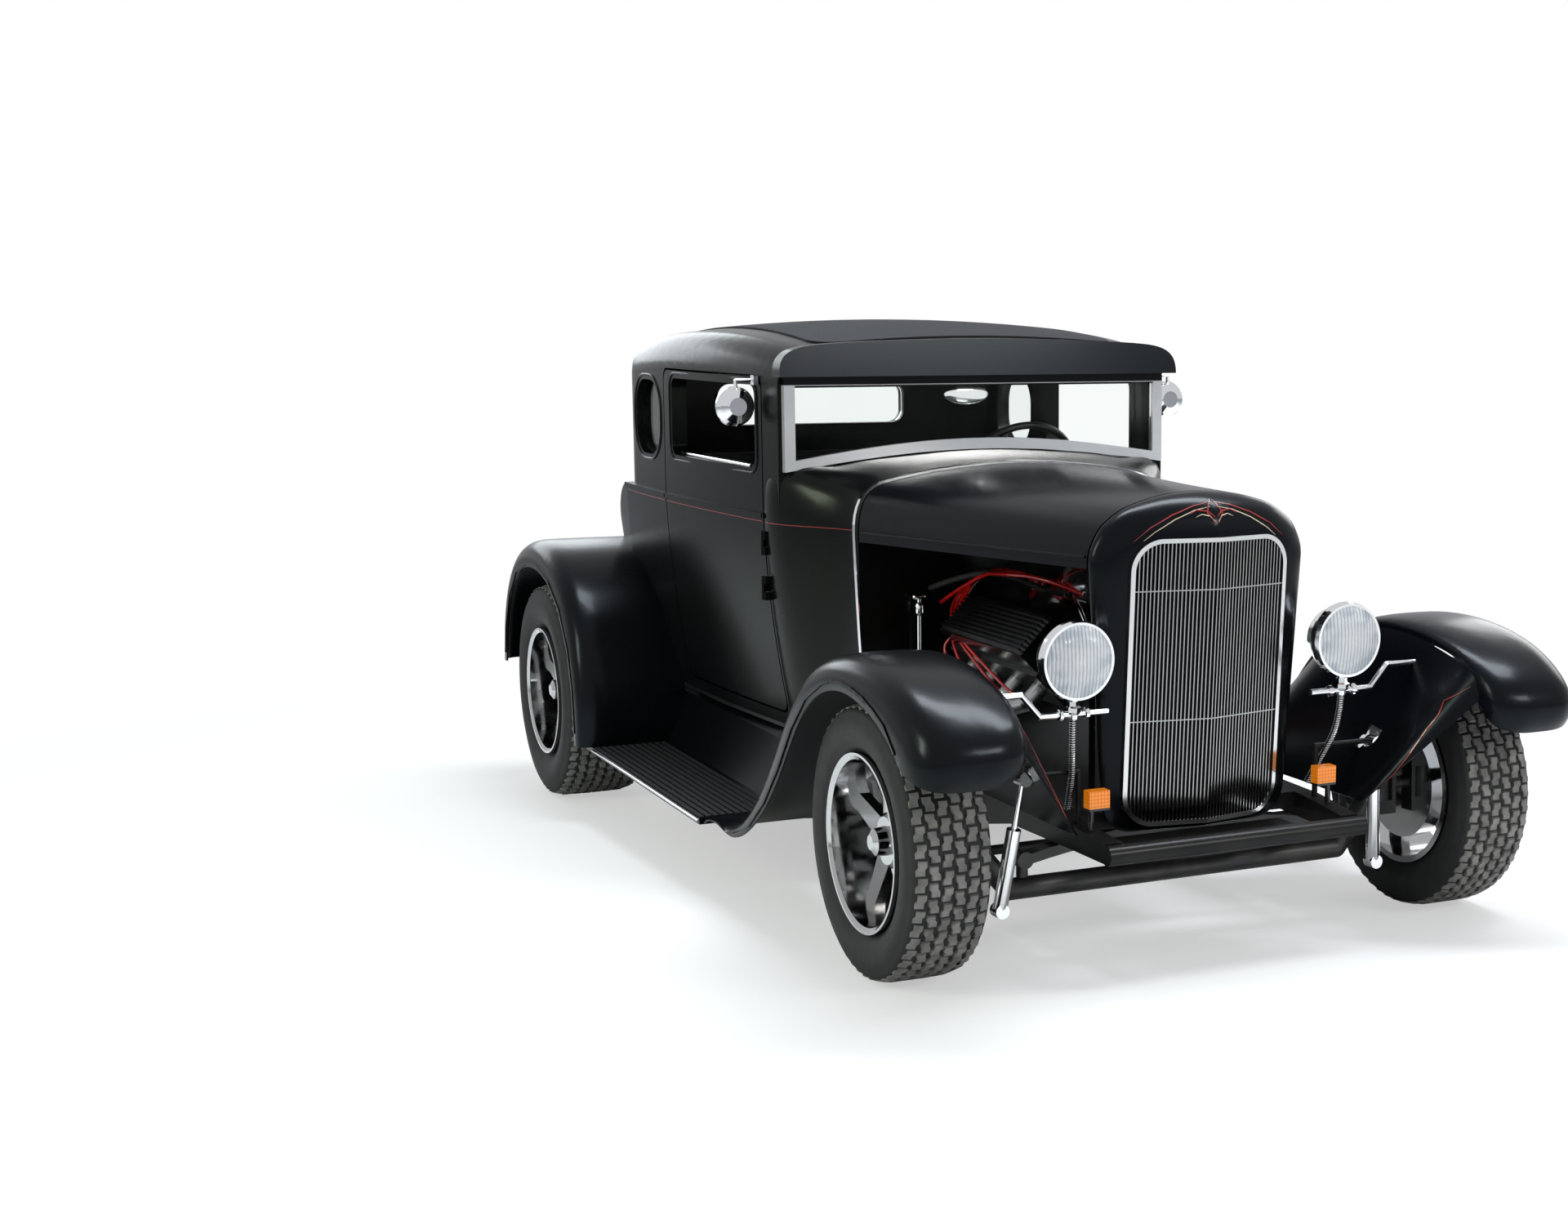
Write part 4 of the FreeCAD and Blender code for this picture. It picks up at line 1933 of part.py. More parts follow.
def headlamps():
    """Two bowls on their stems, each on a bent bar from the fender apron to the shell."""
    pieces = []
    for side in (-1, 1):
        centre = Vector(side * LAMP_X, LAMP_Y, LAMP_Z)
        profile = [
            (-LAMP_RIM_DEPTH / 2, LENS_RADIUS + RUNNING_GAP),
            (-LAMP_RIM_DEPTH / 2, LAMP_RADIUS - BOARD_LIP / 4),
            (0, LAMP_RADIUS),
            (LAMP_RIM_DEPTH / 2, LAMP_RADIUS),
            (LAMP_RIM_DEPTH, LAMP_RADIUS - BOARD_LIP / 2),
        ]
        profile += [(LAMP_BOWL_DEPTH * deep, LAMP_RADIUS * wide) for deep, wide in LAMP_BOWL_SHARES]
        profile += [(LAMP_BOWL_DEPTH, 0), (0, 0), (0, LENS_RADIUS + RUNNING_GAP)]
        bowl = spun_about_y(profile, centre)
        bar_z = LAMP_Z - LAMP_RADIUS - LAMP_BAR_DROP
        high_z = LAMP_BAR_END_Z
        points = [
            Vector(side * LAMP_BAR_INNER_X, LAMP_BAR_Y, bar_z),
            Vector(side * LAMP_BAR_BEND_X, LAMP_BAR_Y, bar_z),
            Vector(side * LAMP_BAR_RISE_X, LAMP_BAR_Y, high_z),
            Vector(side * LAMP_BAR_OUTER_X, LAMP_BAR_Y, high_z),
        ]
        bar = bent_tube(points, LAMP_BAR_RADIUS)
        stem = rod(
            Vector(side * LAMP_X, LAMP_BAR_Y, bar_z - LAMP_STEM_RADIUS),
            Vector(side * LAMP_X, LAMP_BAR_Y, LAMP_Z),
            LAMP_STEM_RADIUS,
        )
        pieces.append(fused([bowl, bar, stem]))
    return pieces


def headlamp_lenses():
    pieces = []
    for side in (-1, 1):
        centre = Vector(side * LAMP_X, LAMP_Y - RUNNING_GAP, LAMP_Z)
        half_rim = LAMP_RIM_DEPTH / 2
        profile = [
            (0, 0),
            (0, LENS_RADIUS),
            (-half_rim + RUNNING_GAP, LENS_RADIUS),
        ]
        for high, wide in LENS_CROWN_SHARES:
            profile.append((-half_rim - LENS_CROWN * high, LENS_RADIUS * wide))
        pieces.append(spun_about_y(profile, centre))
    return pieces


def turn_signals():
    pieces = []
    for side in (-1, 1):
        low = Vector(side * SIGNAL_X - SIGNAL_WIDTH / 2, SIGNAL_Y, SIGNAL_Z - SIGNAL_HEIGHT / 2)
        size = Vector(SIGNAL_WIDTH, SIGNAL_DEPTH, SIGNAL_HEIGHT)
        lamp = block(low, low.add(size))
        foot_y = SIGNAL_Y + SIGNAL_DEPTH / 2
        foot_x = side * (rail_half(foot_y) - RAIL_WIDTH / 2)
        foot_z = horn_top_z(foot_y + SHOCK_ROD_RADIUS) + RUNNING_GAP
        foot = Vector(foot_x, foot_y, foot_z)
        stem = rod(foot, Vector(foot_x, foot_y, SIGNAL_Z), SHOCK_ROD_RADIUS)
        pieces.append(fused([lamp, stem]))
    return pieces


def tail_lamps(wing):
    """Round lamps on the backs of the rear fenders, each let onto the curved skin."""
    y = TAIL_LAMP_Y
    start = Vector(REAR_TRACK_HALF, y - TAIL_LAMP_DEPTH, TAIL_LAMP_Z)
    end = start.add(Vector(0, TAIL_LAMP_DEPTH * TAIL_LAMP_REACH_SHARE, 0))
    pieces = rod(start, end, TAIL_LAMP_RADIUS).cut(wing).Solids
    lamp = max(pieces, key=lambda piece: piece.CenterOfMass.y)
    lamp.translate(Vector(0, RUNNING_GAP, 0))
    return pair(lamp)


# Cabin


def tunnel_form(grow, rear):
    """The hump over gearbox and driveshaft, grown by a clearance."""
    half = GEARBOX_HALF + TUNNEL_CLEARANCE + grow
    top = GEARBOX_HIGH_Z + TUNNEL_CLEARANCE + grow
    low = BODY_BOTTOM_Z - FLOOR_SHEET - OVERRUN
    knee = ENGINE_FRONT_Y + ENGINE_LENGTH + GEARBOX_LENGTH + TUNNEL_CLEARANCE
    points = [
        Vector(-half, COWL_FRONT_Y - OVERRUN, low),
        Vector(-half, COWL_FRONT_Y - OVERRUN, top),
        Vector(-half, knee, top),
        Vector(-half, rear, TUNNEL_TAIL_Z + grow),
        Vector(-half, rear, low),
    ]
    return prism(points, Vector(half * 2, 0, 0))


def floor_pan():
    """Floor with a tunnel for the gearbox and shaft, and a step up over the rear axle."""
    front = COWL_FRONT_Y + FIREWALL_THICKNESS + RUNNING_GAP
    pan = tub_floor(front, FLOOR_STEP_Y)
    inner = side_half(CAB_CORNER_Y) - BODY_TUCK - BODY_WALL - PANEL_GAP
    step = block(
        Vector(-inner, FLOOR_STEP_Y - FLOOR_SHEET, BODY_BOTTOM_Z - FLOOR_SHEET),
        Vector(inner, FLOOR_STEP_Y, FLOOR_STEP_Z + FLOOR_SHEET),
    )
    half = TAIL_END_HALF - BODY_WALL
    deck = block(
        Vector(-half, FLOOR_STEP_Y - FLOOR_SHEET, FLOOR_STEP_Z),
        Vector(half, TAIL_END_Y - BODY_WALL, FLOOR_STEP_Z + FLOOR_SHEET),
    )
    above = block(
        Vector(-inner, front, BODY_BOTTOM_Z - FLOOR_SHEET),
        Vector(inner, FLOOR_STEP_Y, GEARBOX_HIGH_Z + OVERRUN),
    )
    tunnel = tunnel_form(FLOOR_SHEET, FLOOR_STEP_Y).common(above)
    return fused([pan, tunnel, step, deck]).cut(tunnel_form(0, FLOOR_STEP_Y + OVERRUN))


def tub_floor(front, rear):
    low = BODY_BOTTOM_Z - FLOOR_SHEET
    left = []
    for y in (front, SCREEN_Y, DOOR_FRONT_Y, (DOOR_FRONT_Y + rear) / 2, rear):
        half = side_half(y) - BODY_TUCK if y >= SCREEN_Y else COWL_HALF - COWL_TUCK
        left.append(Vector(half, y, low))
    right = [Vector(-p.x, p.y, p.z) for p in left[::-1]]
    return prism(left + right, Vector(0, 0, FLOOR_SHEET))


def seat():
    rear = SEAT_FRONT_Y + SEAT_DEPTH
    cushion = block(
        Vector(-SEAT_HALF, SEAT_FRONT_Y, BODY_BOTTOM_Z + RUNNING_GAP),
        Vector(SEAT_HALF, rear - SEAT_BACK_THICKNESS, SEAT_CUSHION_Z),
    )
    low = SEAT_CUSHION_Z + RUNNING_GAP
    back_y = FLOOR_STEP_Y - FLOOR_SHEET - RUNNING_GAP
    back = prism(
        [
            Vector(-SEAT_HALF, rear - SEAT_BACK_THICKNESS + RUNNING_GAP, BODY_BOTTOM_Z + RUNNING_GAP),
            Vector(-SEAT_HALF, rear - SEAT_BACK_THICKNESS + RUNNING_GAP, low),
            Vector(-SEAT_HALF, rear - SEAT_BACK_THICKNESS + SEAT_BACK_LEAN, SEAT_BACK_Z),
            Vector(-SEAT_HALF, rear + SEAT_BACK_LEAN, SEAT_BACK_Z),
            Vector(-SEAT_HALF, back_y, FLOOR_STEP_Z + FLOOR_SHEET),
            Vector(-SEAT_HALF, back_y, BODY_BOTTOM_Z + RUNNING_GAP),
        ],
        Vector(SEAT_HALF * 2, 0, 0),
    )
    room = tunnel_form(FLOOR_SHEET + RUNNING_GAP, FLOOR_STEP_Y)
    return [cushion.cut(room), back.cut(room)]


def column_axis():
    turn = math.radians(COLUMN_ANGLE_DEG)
    return Vector(0, math.cos(turn), math.sin(turn))


def dashboard():
    """Instrument panel across the cowl, with the steering column on its bracket."""
    top = SCREEN_BASE_Z - COWL_WALL
    panel = block(
        Vector(-DASH_HALF, SCREEN_Y, top - DASH_BACK_HEIGHT),
        Vector(DASH_HALF, SCREEN_Y + DASH_DEPTH, top),
    ).common(cowl_solid(COWL_WALL + RUNNING_GAP, COWL_FRONT_Y, OVERRUN))
    axis = column_axis()
    upper = Vector(WHEEL_X, WHEEL_Y, WHEEL_Z).sub(Vector(axis).multiply(WHEEL_HUB_LENGTH))
    lower = upper.sub(Vector(axis).multiply(COLUMN_LENGTH))
    column = rod(lower, upper, COLUMN_RADIUS)
    drop_y = SCREEN_Y + DASH_DEPTH / 2
    share = (drop_y - lower.y) / (upper.y - lower.y)
    column_z = lower.z + (upper.z - lower.z) * share
    bracket = block(
        Vector(WHEEL_X - COLUMN_RADIUS, drop_y - COLUMN_RADIUS, column_z),
        Vector(WHEEL_X + COLUMN_RADIUS, drop_y + COLUMN_RADIUS, top - DASH_HEIGHT),
    )
    return fused([panel, column, bracket])


def steering_wheel():
    axis = column_axis()
    centre = Vector(WHEEL_X, WHEEL_Y, WHEEL_Z)
    rim = Part.makeTorus(WHEEL_RIM_RADIUS, WHEEL_GRIP_RADIUS, centre, axis)
    hub_start = centre.sub(Vector(axis).multiply(WHEEL_HUB_LENGTH - RUNNING_GAP))
    pieces = [rim, rod(hub_start, centre.add(Vector(axis).multiply(WHEEL_GRIP_RADIUS)), WHEEL_HUB_RADIUS)]
    up = axis.cross(X_AXIS)
    for index in range(WHEEL_SPOKES):
        turn = FreeCAD.Rotation(axis, FULL_TURN / WHEEL_SPOKES * index)
        tip = centre.add(turn.multVec(Vector(up).multiply(WHEEL_RIM_RADIUS)))
        pieces.append(rod(centre, tip, WHEEL_SPOKE_RADIUS))
    return fused(pieces)


def save(name, shape):
    if isinstance(shape, list):
        shape = Part.Compound(shape)
    shape.exportStep("parts/" + name + ".step")


def main():
    os.makedirs("parts", exist_ok=True)
    front_centre = Vector(FRONT_TRACK_HALF, 0, FRONT_TYRE_RADIUS)
    rear_centre = Vector(REAR_TRACK_HALF, REAR_AXLE_Y, REAR_TYRE_RADIUS)
    front_tyre = tyre(front_centre, FRONT_TYRE_RADIUS, FRONT_TYRE_WIDTH)
    rear_tyre = tyre(rear_centre, REAR_TYRE_RADIUS, REAR_TYRE_WIDTH)
    for name, side in (("left", 1), ("right", -1)):
        front_wheel = wheel(side, FRONT_HUB_INNER, FRONT_TRACK_HALF, FRONT_TYRE_WIDTH)
        front_wheel.translate(Vector(0, 0, FRONT_TYRE_RADIUS))
        save("wheel_front_" + name, park(front_wheel))
        rear_wheel = wheel(side, REAR_HUB_INNER, REAR_TRACK_HALF, REAR_TYRE_WIDTH)
        rear_wheel.translate(Vector(0, REAR_AXLE_Y, REAR_TYRE_RADIUS))
        save("wheel_rear_" + name, park(rear_wheel))
        save("tyre_front_" + name, park(front_tyre if side > 0 else mirrored(front_tyre)))
        save("tyre_rear_" + name, park(rear_tyre if side > 0 else mirrored(rear_tyre)))
        save("knuckle_" + name, park(knuckle() if side > 0 else mirrored(knuckle())))
    save("front_axle", park(front_axle()))
    save("tie_rod", park(tie_rod()))
    save("front_suspension", [park(piece) for piece in front_suspension()])
    save("shock_absorbers", [park(piece) for piece in shock_absorbers()])
    save("rear_axle", park(rear_axle()))
    save("frame", rake(frame()))
    save("engine_block", rake(engine_block()))
    save("valve_covers", [rake(piece) for piece in valve_covers()])
    save("induction", rake(induction()))
    save("exhaust", [rake(piece) for piece in exhaust()])
    save("front_drive", [rake(piece) for piece in front_drive()])
    save("grille_shell", rake(grille_shell()))
    save("grille_bars", rake(grille_bars()))
    save("hood", rake(hood()))
    save("cowl", rake(cowl()))
    body = body_shell()
    save("cab_shell", rake(cab_shell(body)))
    left_door = door(body)
    save("door_left", rake(left_door))
    save("door_right", rake(mirrored(left_door)))
    save("mirror_left", rake(mirror_unit()))
    save("mirror_right", rake(mirrored(mirror_unit())))
    save("deck_lid", rake(deck_lid()))
    save("roof_insert", rake(roof_insert()))
    save("visor", rake(visor()))
    save("windshield_frame", rake(windshield_frame()))
    save("window_glass", [rake(pane) for pane in window_glass()])
    front_wing = front_fender()
    wings = []
    for piece in front_wing:
        wings += pair(piece)
    save("front_fenders", [rake(piece) for piece in wings])
    body_form = fused([tub_solid(0, 0, BELT_Z, DOOR_FRONT_Y, TAIL_START_Y), tail_solid(0, 0, 0)])
    rear_wing = rear_fender(body_form)
    save("rear_fenders", [rake(piece) for piece in pair(rear_wing)])
    board = running_board()
    for drop in (0, RUNNING_GAP):
        tool = rear_wing.copy()
        tool.translate(Vector(0, -drop, -drop))
        board = board.cut(tool)
    save("running_boards", [rake(piece) for piece in pair(largest(board))])
    save("headlamps", [rake(piece) for piece in headlamps()])
    save("headlamp_lenses", [rake(piece) for piece in headlamp_lenses()])
    save("turn_signals", [rake(piece) for piece in turn_signals()])
    save("tail_lamps", [rake(piece) for piece in tail_lamps(rear_wing)])
    save("floor_pan", rake(floor_pan()))
    save("seat", [rake(piece) for piece in seat()])
    save("dashboard", rake(dashboard()))
    save("steering_wheel", rake(steering_wheel()))


main()
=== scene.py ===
"""A chopped hot rod coupe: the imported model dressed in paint, chrome, rubber and glass."""
import math

import bmesh
import bpy
from mathutils import Matrix, Vector
from mathutils.bvhtree import BVHTree


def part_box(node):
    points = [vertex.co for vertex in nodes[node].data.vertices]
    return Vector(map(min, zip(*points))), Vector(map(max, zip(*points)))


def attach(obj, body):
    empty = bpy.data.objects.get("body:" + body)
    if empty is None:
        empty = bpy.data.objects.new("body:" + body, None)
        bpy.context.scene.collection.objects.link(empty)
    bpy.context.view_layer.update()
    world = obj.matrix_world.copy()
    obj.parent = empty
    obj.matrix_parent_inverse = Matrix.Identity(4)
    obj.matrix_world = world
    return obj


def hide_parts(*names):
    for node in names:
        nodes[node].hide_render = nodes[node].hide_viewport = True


MM = 0.001
UP = (0, 0, 1)
REARWARD = Vector((0, 1, 0))
SIDES = ((1, "left"), (-1, "right"))
FRONT_AXLE_Y = -1309.0
RAKE = math.radians(2.0)
RAKE_PIVOT_Z = 316.0
RAKED = Matrix.Rotation(RAKE, 4, "X")
BESIDE_CAR = 1200.0

SHELL_EDGE_Y = -74.0
SHELL_BOTTOM_Z = 289.0
SHELL_FOOT_Y = -125.0
SHELL_LEAN = 0.0631
SHELL_SLOPE = 0.193
SHELL_MIDDLE_Z = 646.5
SHELL_SHEET = 4.0
SHELL_LIP = 16.0
SHELL_COLUMNS = 192
ROLL_STEPS = 14
OPENING_HALF = 209.0
OPENING_HALF_HEIGHT = 339.5
OPENING_CORNER = 76.0
TRIM_WIDTH = 11.0
CREASE_ANGLE = math.radians(20)

CHANNEL_WIDTH = 0.07
PAD_ROOM = 0.014


def level(x, y, z):
    """A point of the level drawing of the body, in mm from the front axle, raked and in metres."""
    up = z - RAKE_PIVOT_Z
    turned_y = y * math.cos(RAKE) - up * math.sin(RAKE)
    turned_z = y * math.sin(RAKE) + up * math.cos(RAKE) + RAKE_PIVOT_Z
    return Vector((x, turned_y + FRONT_AXLE_Y, turned_z)) * MM


def levels(side, points):
    """Several points of the level drawing, mirrored for the right side."""
    return [level(side * x, y, z) for x, y, z in points]


def spaced(first, last, count):
    """Evenly spaced values from the first to the last."""
    return [first + (last - first) * index / (count - 1) for index in range(count)]


def along(knots, steps):
    """Points along straight spans between knots, each span cut into steps."""
    for (a0, b0), (a1, b1) in zip(knots, knots[1:]):
        for step in range(steps):
            share = step / steps
            yield a0 + (a1 - a0) * share, b0 + (b1 - b0) * share


def flank_ray(side, y, z):
    """A ray from beside the car, square to its middle plane."""
    return level(side * BESIDE_CAR, y, z), Vector((-side, 0, 0))


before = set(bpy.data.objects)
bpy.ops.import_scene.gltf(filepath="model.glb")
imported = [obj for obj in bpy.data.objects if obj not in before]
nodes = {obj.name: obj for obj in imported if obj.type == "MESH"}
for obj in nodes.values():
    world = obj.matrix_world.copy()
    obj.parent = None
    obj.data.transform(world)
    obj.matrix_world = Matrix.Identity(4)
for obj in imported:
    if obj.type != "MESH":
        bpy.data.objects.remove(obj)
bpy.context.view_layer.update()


# Shader helpers


def feed(tree, node, values):
    """Gives inputs of a node constants, or links from other nodes' outputs."""
    for name, value in values.items():
        socket = node.inputs[name]
        if isinstance(value, bpy.types.NodeSocket):
            tree.links.new(value, socket)
        else:
            socket.default_value = (*value, 1.0) if socket.type == "RGBA" else value


def add_node(tree, kind, output, values, **settings):
    """Adds a shader node with its settings and inputs, and gives one of its outputs."""
    node = tree.nodes.new("ShaderNode" + kind)
    for name, value in settings.items():
        setattr(node, name, value)
    feed(tree, node, values)
    return node.outputs[output]


def dress(material, values):
    """Feeds a material's Principled shader, and gives the material back."""
    tree = material.node_tree
    feed(tree, tree.nodes["Principled BSDF"], values)
    return material


def object_point(tree):
    return add_node(tree, "TexCoord", "Object", {})


def new_material(name, roughness, metallic=0.0, colour=(0.5, 0.5, 0.5)):
    """A material with one Principled shader, its node tree and its object coordinates."""
    material = bpy.data.materials.new(name)
    material.use_nodes = True
    dress(material, {"Base Color": colour, "Roughness": roughness, "Metallic": metallic})
    return material, material.node_tree, object_point(material.node_tree)


def maths(tree, operation, first, second=0.0):
    return add_node(tree, "Math", "Value", {0: first, 1: second}, operation=operation)


def coordinate(tree, point, axis):
    return add_node(tree, "SeparateXYZ", axis, {"Vector": point})


def mapped(tree, point, scale):
    return add_node(tree, "Mapping", "Vector", {"Vector": point, "Scale": scale})


def distance(tree, point, origin=(0.0, 0.0, 0.0)):
    return add_node(tree, "VectorMath", "Value", {0: point, 1: origin}, operation="DISTANCE")


def noise(tree, point, scale, detail=3.0):
    return add_node(tree, "TexNoise", "Fac", {"Vector": point, "Scale": scale, "Detail": detail})


def cells(tree, point, scale, randomness=1.0, metric="EUCLIDEAN"):
    values = {"Vector": point, "Scale": scale, "Randomness": randomness}
    return add_node(tree, "TexVoronoi", "Distance", values, distance=metric)


def waves(tree, point, axis, values):
    return add_node(tree, "TexWave", "Fac", {"Vector": point, **values}, bands_direction=axis)


def ramp(tree, factor, low, high, low_value, high_value):
    """Maps a mask to a colour between two levels."""
    node = tree.nodes.new("ShaderNodeValToRGB")
    stops = node.color_ramp.elements
    for stop, position, value in ((stops[0], low, low_value), (stops[1], high, high_value)):
        stop.position = position
        stop.color = (*value, 1.0)
    feed(tree, node, {"Fac": factor})
    return node.outputs["Color"]


def grey_ramp(tree, factor, low, high, low_value, high_value):
    """Maps a mask to a number between two levels."""
    values = {"From Min": low, "From Max": high, "To Min": low_value, "To Max": high_value}
    return add_node(tree, "MapRange", "Result", {"Value": factor, **values})


def mix_colour(tree, factor, first, second):
    values = {"Factor": factor, "A": first, "B": second}
    return add_node(tree, "Mix", "Result", values, data_type="RGBA")


def mix_shader(tree, factor, first, second):
    return add_node(tree, "MixShader", "Shader", {0: factor, 1: first, 2: second})


def bump(tree, height, strength, depth):
    values = {"Height": height, "Strength": strength, "Distance": depth}
    return add_node(tree, "Bump", "Normal", values)


def dust_group():
    """Road dust: a mask that gathers low on the car and in soft blotches."""
    group = bpy.data.node_groups.new("road dust", "ShaderNodeTree")
    for name, way in (("Blotch Scale", "INPUT"), ("Most Dust", "INPUT"), ("Mask", "OUTPUT")):
        group.interface.new_socket(name, in_out=way, socket_type="NodeSocketFloat")
    entry = group.nodes.new("NodeGroupInput")
    leave = group.nodes.new("NodeGroupOutput")
    point = object_point(group)
    low = grey_ramp(group, coordinate(group, point, "Z"), 0.55, 0.0, 0.0, 1.0)
    blotches = noise(group, point, entry.outputs["Blotch Scale"], 5.0)
    patches = grey_ramp(group, blotches, 0.35, 0.7, 0.25, 1.0)
    amount = maths(group, "MULTIPLY", low, patches)
    feed(group, leave, {"Mask": maths(group, "MULTIPLY", amount, entry.outputs["Most Dust"])})
    return group


DUST = dust_group()


def dust_mask(tree, blotch_scale, most):
    values = {"Blotch Scale": blotch_scale, "Most Dust": most}
    return add_node(tree, "Group", "Mask", values, node_tree=DUST)


# Finishes

BLACK = (0.0, 0.0, 0.0)
WHITE = (1.0, 1.0, 1.0)
DUST_ON_PAINT = (0.075, 0.068, 0.06)
DUST_ON_PLATING = (0.4, 0.37, 0.33)
DUST_ON_IRON = (0.13, 0.115, 0.1)
HOUSING_BLACK = (0.012, 0.012, 0.013)
RAIL_BLACK = (0.003, 0.003, 0.0035)
FADE = 0.001
PRISM_SCALE = 120.0


def satin_paint(name, base, tone_and_painted_reflection, roughness, dust, tint=WHITE):
    """Satin black whose colour drifts slowly over the panels towards a second tone, and a very fine
    orange peel; on the body paints the second tone is a painted reflection.
    """
    material, tree, point = new_material(name, roughness)
    slow = noise(tree, mapped(tree, point, (0.7, 0.5, 1.1)), 2.2, 1.0)
    # Painted reflection on the body paints: slow noise mixes the base towards a paler second tone
    # in place of reflected surroundings; on the chassis it is only a drift of tone.
    shade = ramp(tree, slow, 0.4, 0.62, base, tone_and_painted_reflection)
    mottle = noise(tree, point, 3.0, 2.0)
    return dress(material, {
        "Base Color": mix_colour(tree, dust_mask(tree, 7.0, dust), shade, DUST_ON_PAINT),
        "Roughness": grey_ramp(tree, mottle, 0.3, 0.7, roughness - 0.02, roughness + 0.03),
        "Normal": bump(tree, noise(tree, point, 300.0, 1.0), 0.02, 0.0002),
        "Specular IOR Level": 0.12,
        "Specular Tint": tint,
        "Coat Weight": 0.05,
        "Coat Roughness": 0.12,
    })


def plated_chrome(name, roughness, tone):
    """Chrome with faint smudges, and dust low on the car."""
    base = (tone, tone * 1.005, tone * 1.02)
    material, tree, point = new_material(name, roughness, 1.0, base)
    smudge = noise(tree, point, 24.0, 4.0)
    return dress(material, {
        "Roughness": grey_ramp(tree, smudge, 0.4, 0.75, roughness, roughness + 0.09),
        "Base Color": mix_colour(tree, dust_mask(tree, 11.0, 0.35), base, DUST_ON_PLATING),
    })


def barred_plating(name, bar_tone, trim_tone):
    """Plating that is dull on the grille's bars and bright on the trim ring around them."""
    bar, trim = (bar_tone,) * 3, (trim_tone,) * 3
    material, tree, point = new_material(name, 0.14, 1.0, bar)
    middle = level(0, SHELL_FOOT_Y, SHELL_MIDDLE_Z)
    past = {}
    for axis, centre, half in (
        ("X", middle.x, OPENING_HALF), ("Z", middle.z, OPENING_HALF_HEIGHT)
    ):
        away = maths(tree, "SUBTRACT", coordinate(tree, point, axis), centre)
        over = maths(tree, "SUBTRACT", maths(tree, "ABSOLUTE", away), (half - OPENING_CORNER) * MM)
        past[axis] = maths(tree, "MAXIMUM", over)
    rim = (OPENING_CORNER - TRIM_WIDTH) * MM
    reach = distance(tree, add_node(tree, "CombineXYZ", "Vector", past))
    ring = grey_ramp(tree, reach, rim - FADE, rim, 0.0, 1.0)
    return dress(material, {"Base Color": mix_colour(tree, ring, bar, trim)})


def brushed_bright(name, tone, roughness, axis, dark_from_height=None):
    """Polished aluminium with fine lines along an axis, dark over a height where one is given."""
    bright = (tone, tone, tone * 1.01)
    material, tree, point = new_material(name, roughness, 1.0, bright)
    scale = [300.0, 300.0, 300.0]
    scale[axis] = 3.0
    lines = noise(tree, mapped(tree, point, scale), 3.0)
    dress(material, {
        "Roughness": grey_ramp(tree, lines, 0.3, 0.7, roughness - 0.06, roughness + 0.08),
        "Normal": bump(tree, lines, 0.08, 0.0003),
    })
    # Above the given height the trim is coloured near black and not metallic.
    if dark_from_height:
        reach = (coordinate(tree, point, "Z"), dark_from_height, dark_from_height + 2 * FADE)
        dress(material, {
            "Base Color": mix_colour(tree, grey_ramp(tree, *reach, 0.0, 1.0), bright, RAIL_BLACK),
            "Metallic": grey_ramp(tree, *reach, 0.6, 0.0),
            "Specular IOR Level": 0.2,
        })
    return material


def grained_vinyl():
    """Black roof vinyl with a pebbled grain whose tops are coloured paler."""
    material, tree, point = new_material("grained roof vinyl", 0.62)
    grain = cells(tree, point, 190.0)
    fade = noise(tree, point, 3.0)
    black = ramp(tree, fade, 0.35, 0.7, (0.005, 0.0055, 0.007), (0.011, 0.012, 0.015))
    # The tops of the grain are coloured paler.
    pale_grain_tops = grey_ramp(tree, grain, 0.0, 0.5, 0.5, 0.0)
    return dress(material, {
        "Base Color": mix_colour(tree, pale_grain_tops, black, (0.022, 0.024, 0.029)),
        "Normal": bump(tree, grey_ramp(tree, grain, 0.0, 0.6, 1.0, 0.0), 0.7, 0.0015),
        "Specular IOR Level": 0.2,
    })


def tyre_rubber(name, base, dusty_colour, most, grain=0.25):
    """Dull rubber, dusty in patches."""
    material, tree, point = new_material(name, 0.68)
    mask = grey_ramp(tree, noise(tree, point, 30.0, 5.0), 0.3, 0.72, 0.1, most)
    return dress(material, {
        "Base Color": mix_colour(tree, mask, base, dusty_colour),
        "Normal": bump(tree, noise(tree, point, 350.0), grain, 0.0006),
        "Specular IOR Level": 0.35,
    })


def clear_glass(name, tint):
    """Window glass with a faint film on it."""
    material, tree, point = new_material(name, 0.0, 0.0, tint)
    return dress(material, {
        "Roughness": grey_ramp(tree, noise(tree, point, 5.0, 4.0), 0.45, 0.8, 0.0, 0.035),
        "Transmission Weight": 1.0,
        "IOR": 1.12,
    })


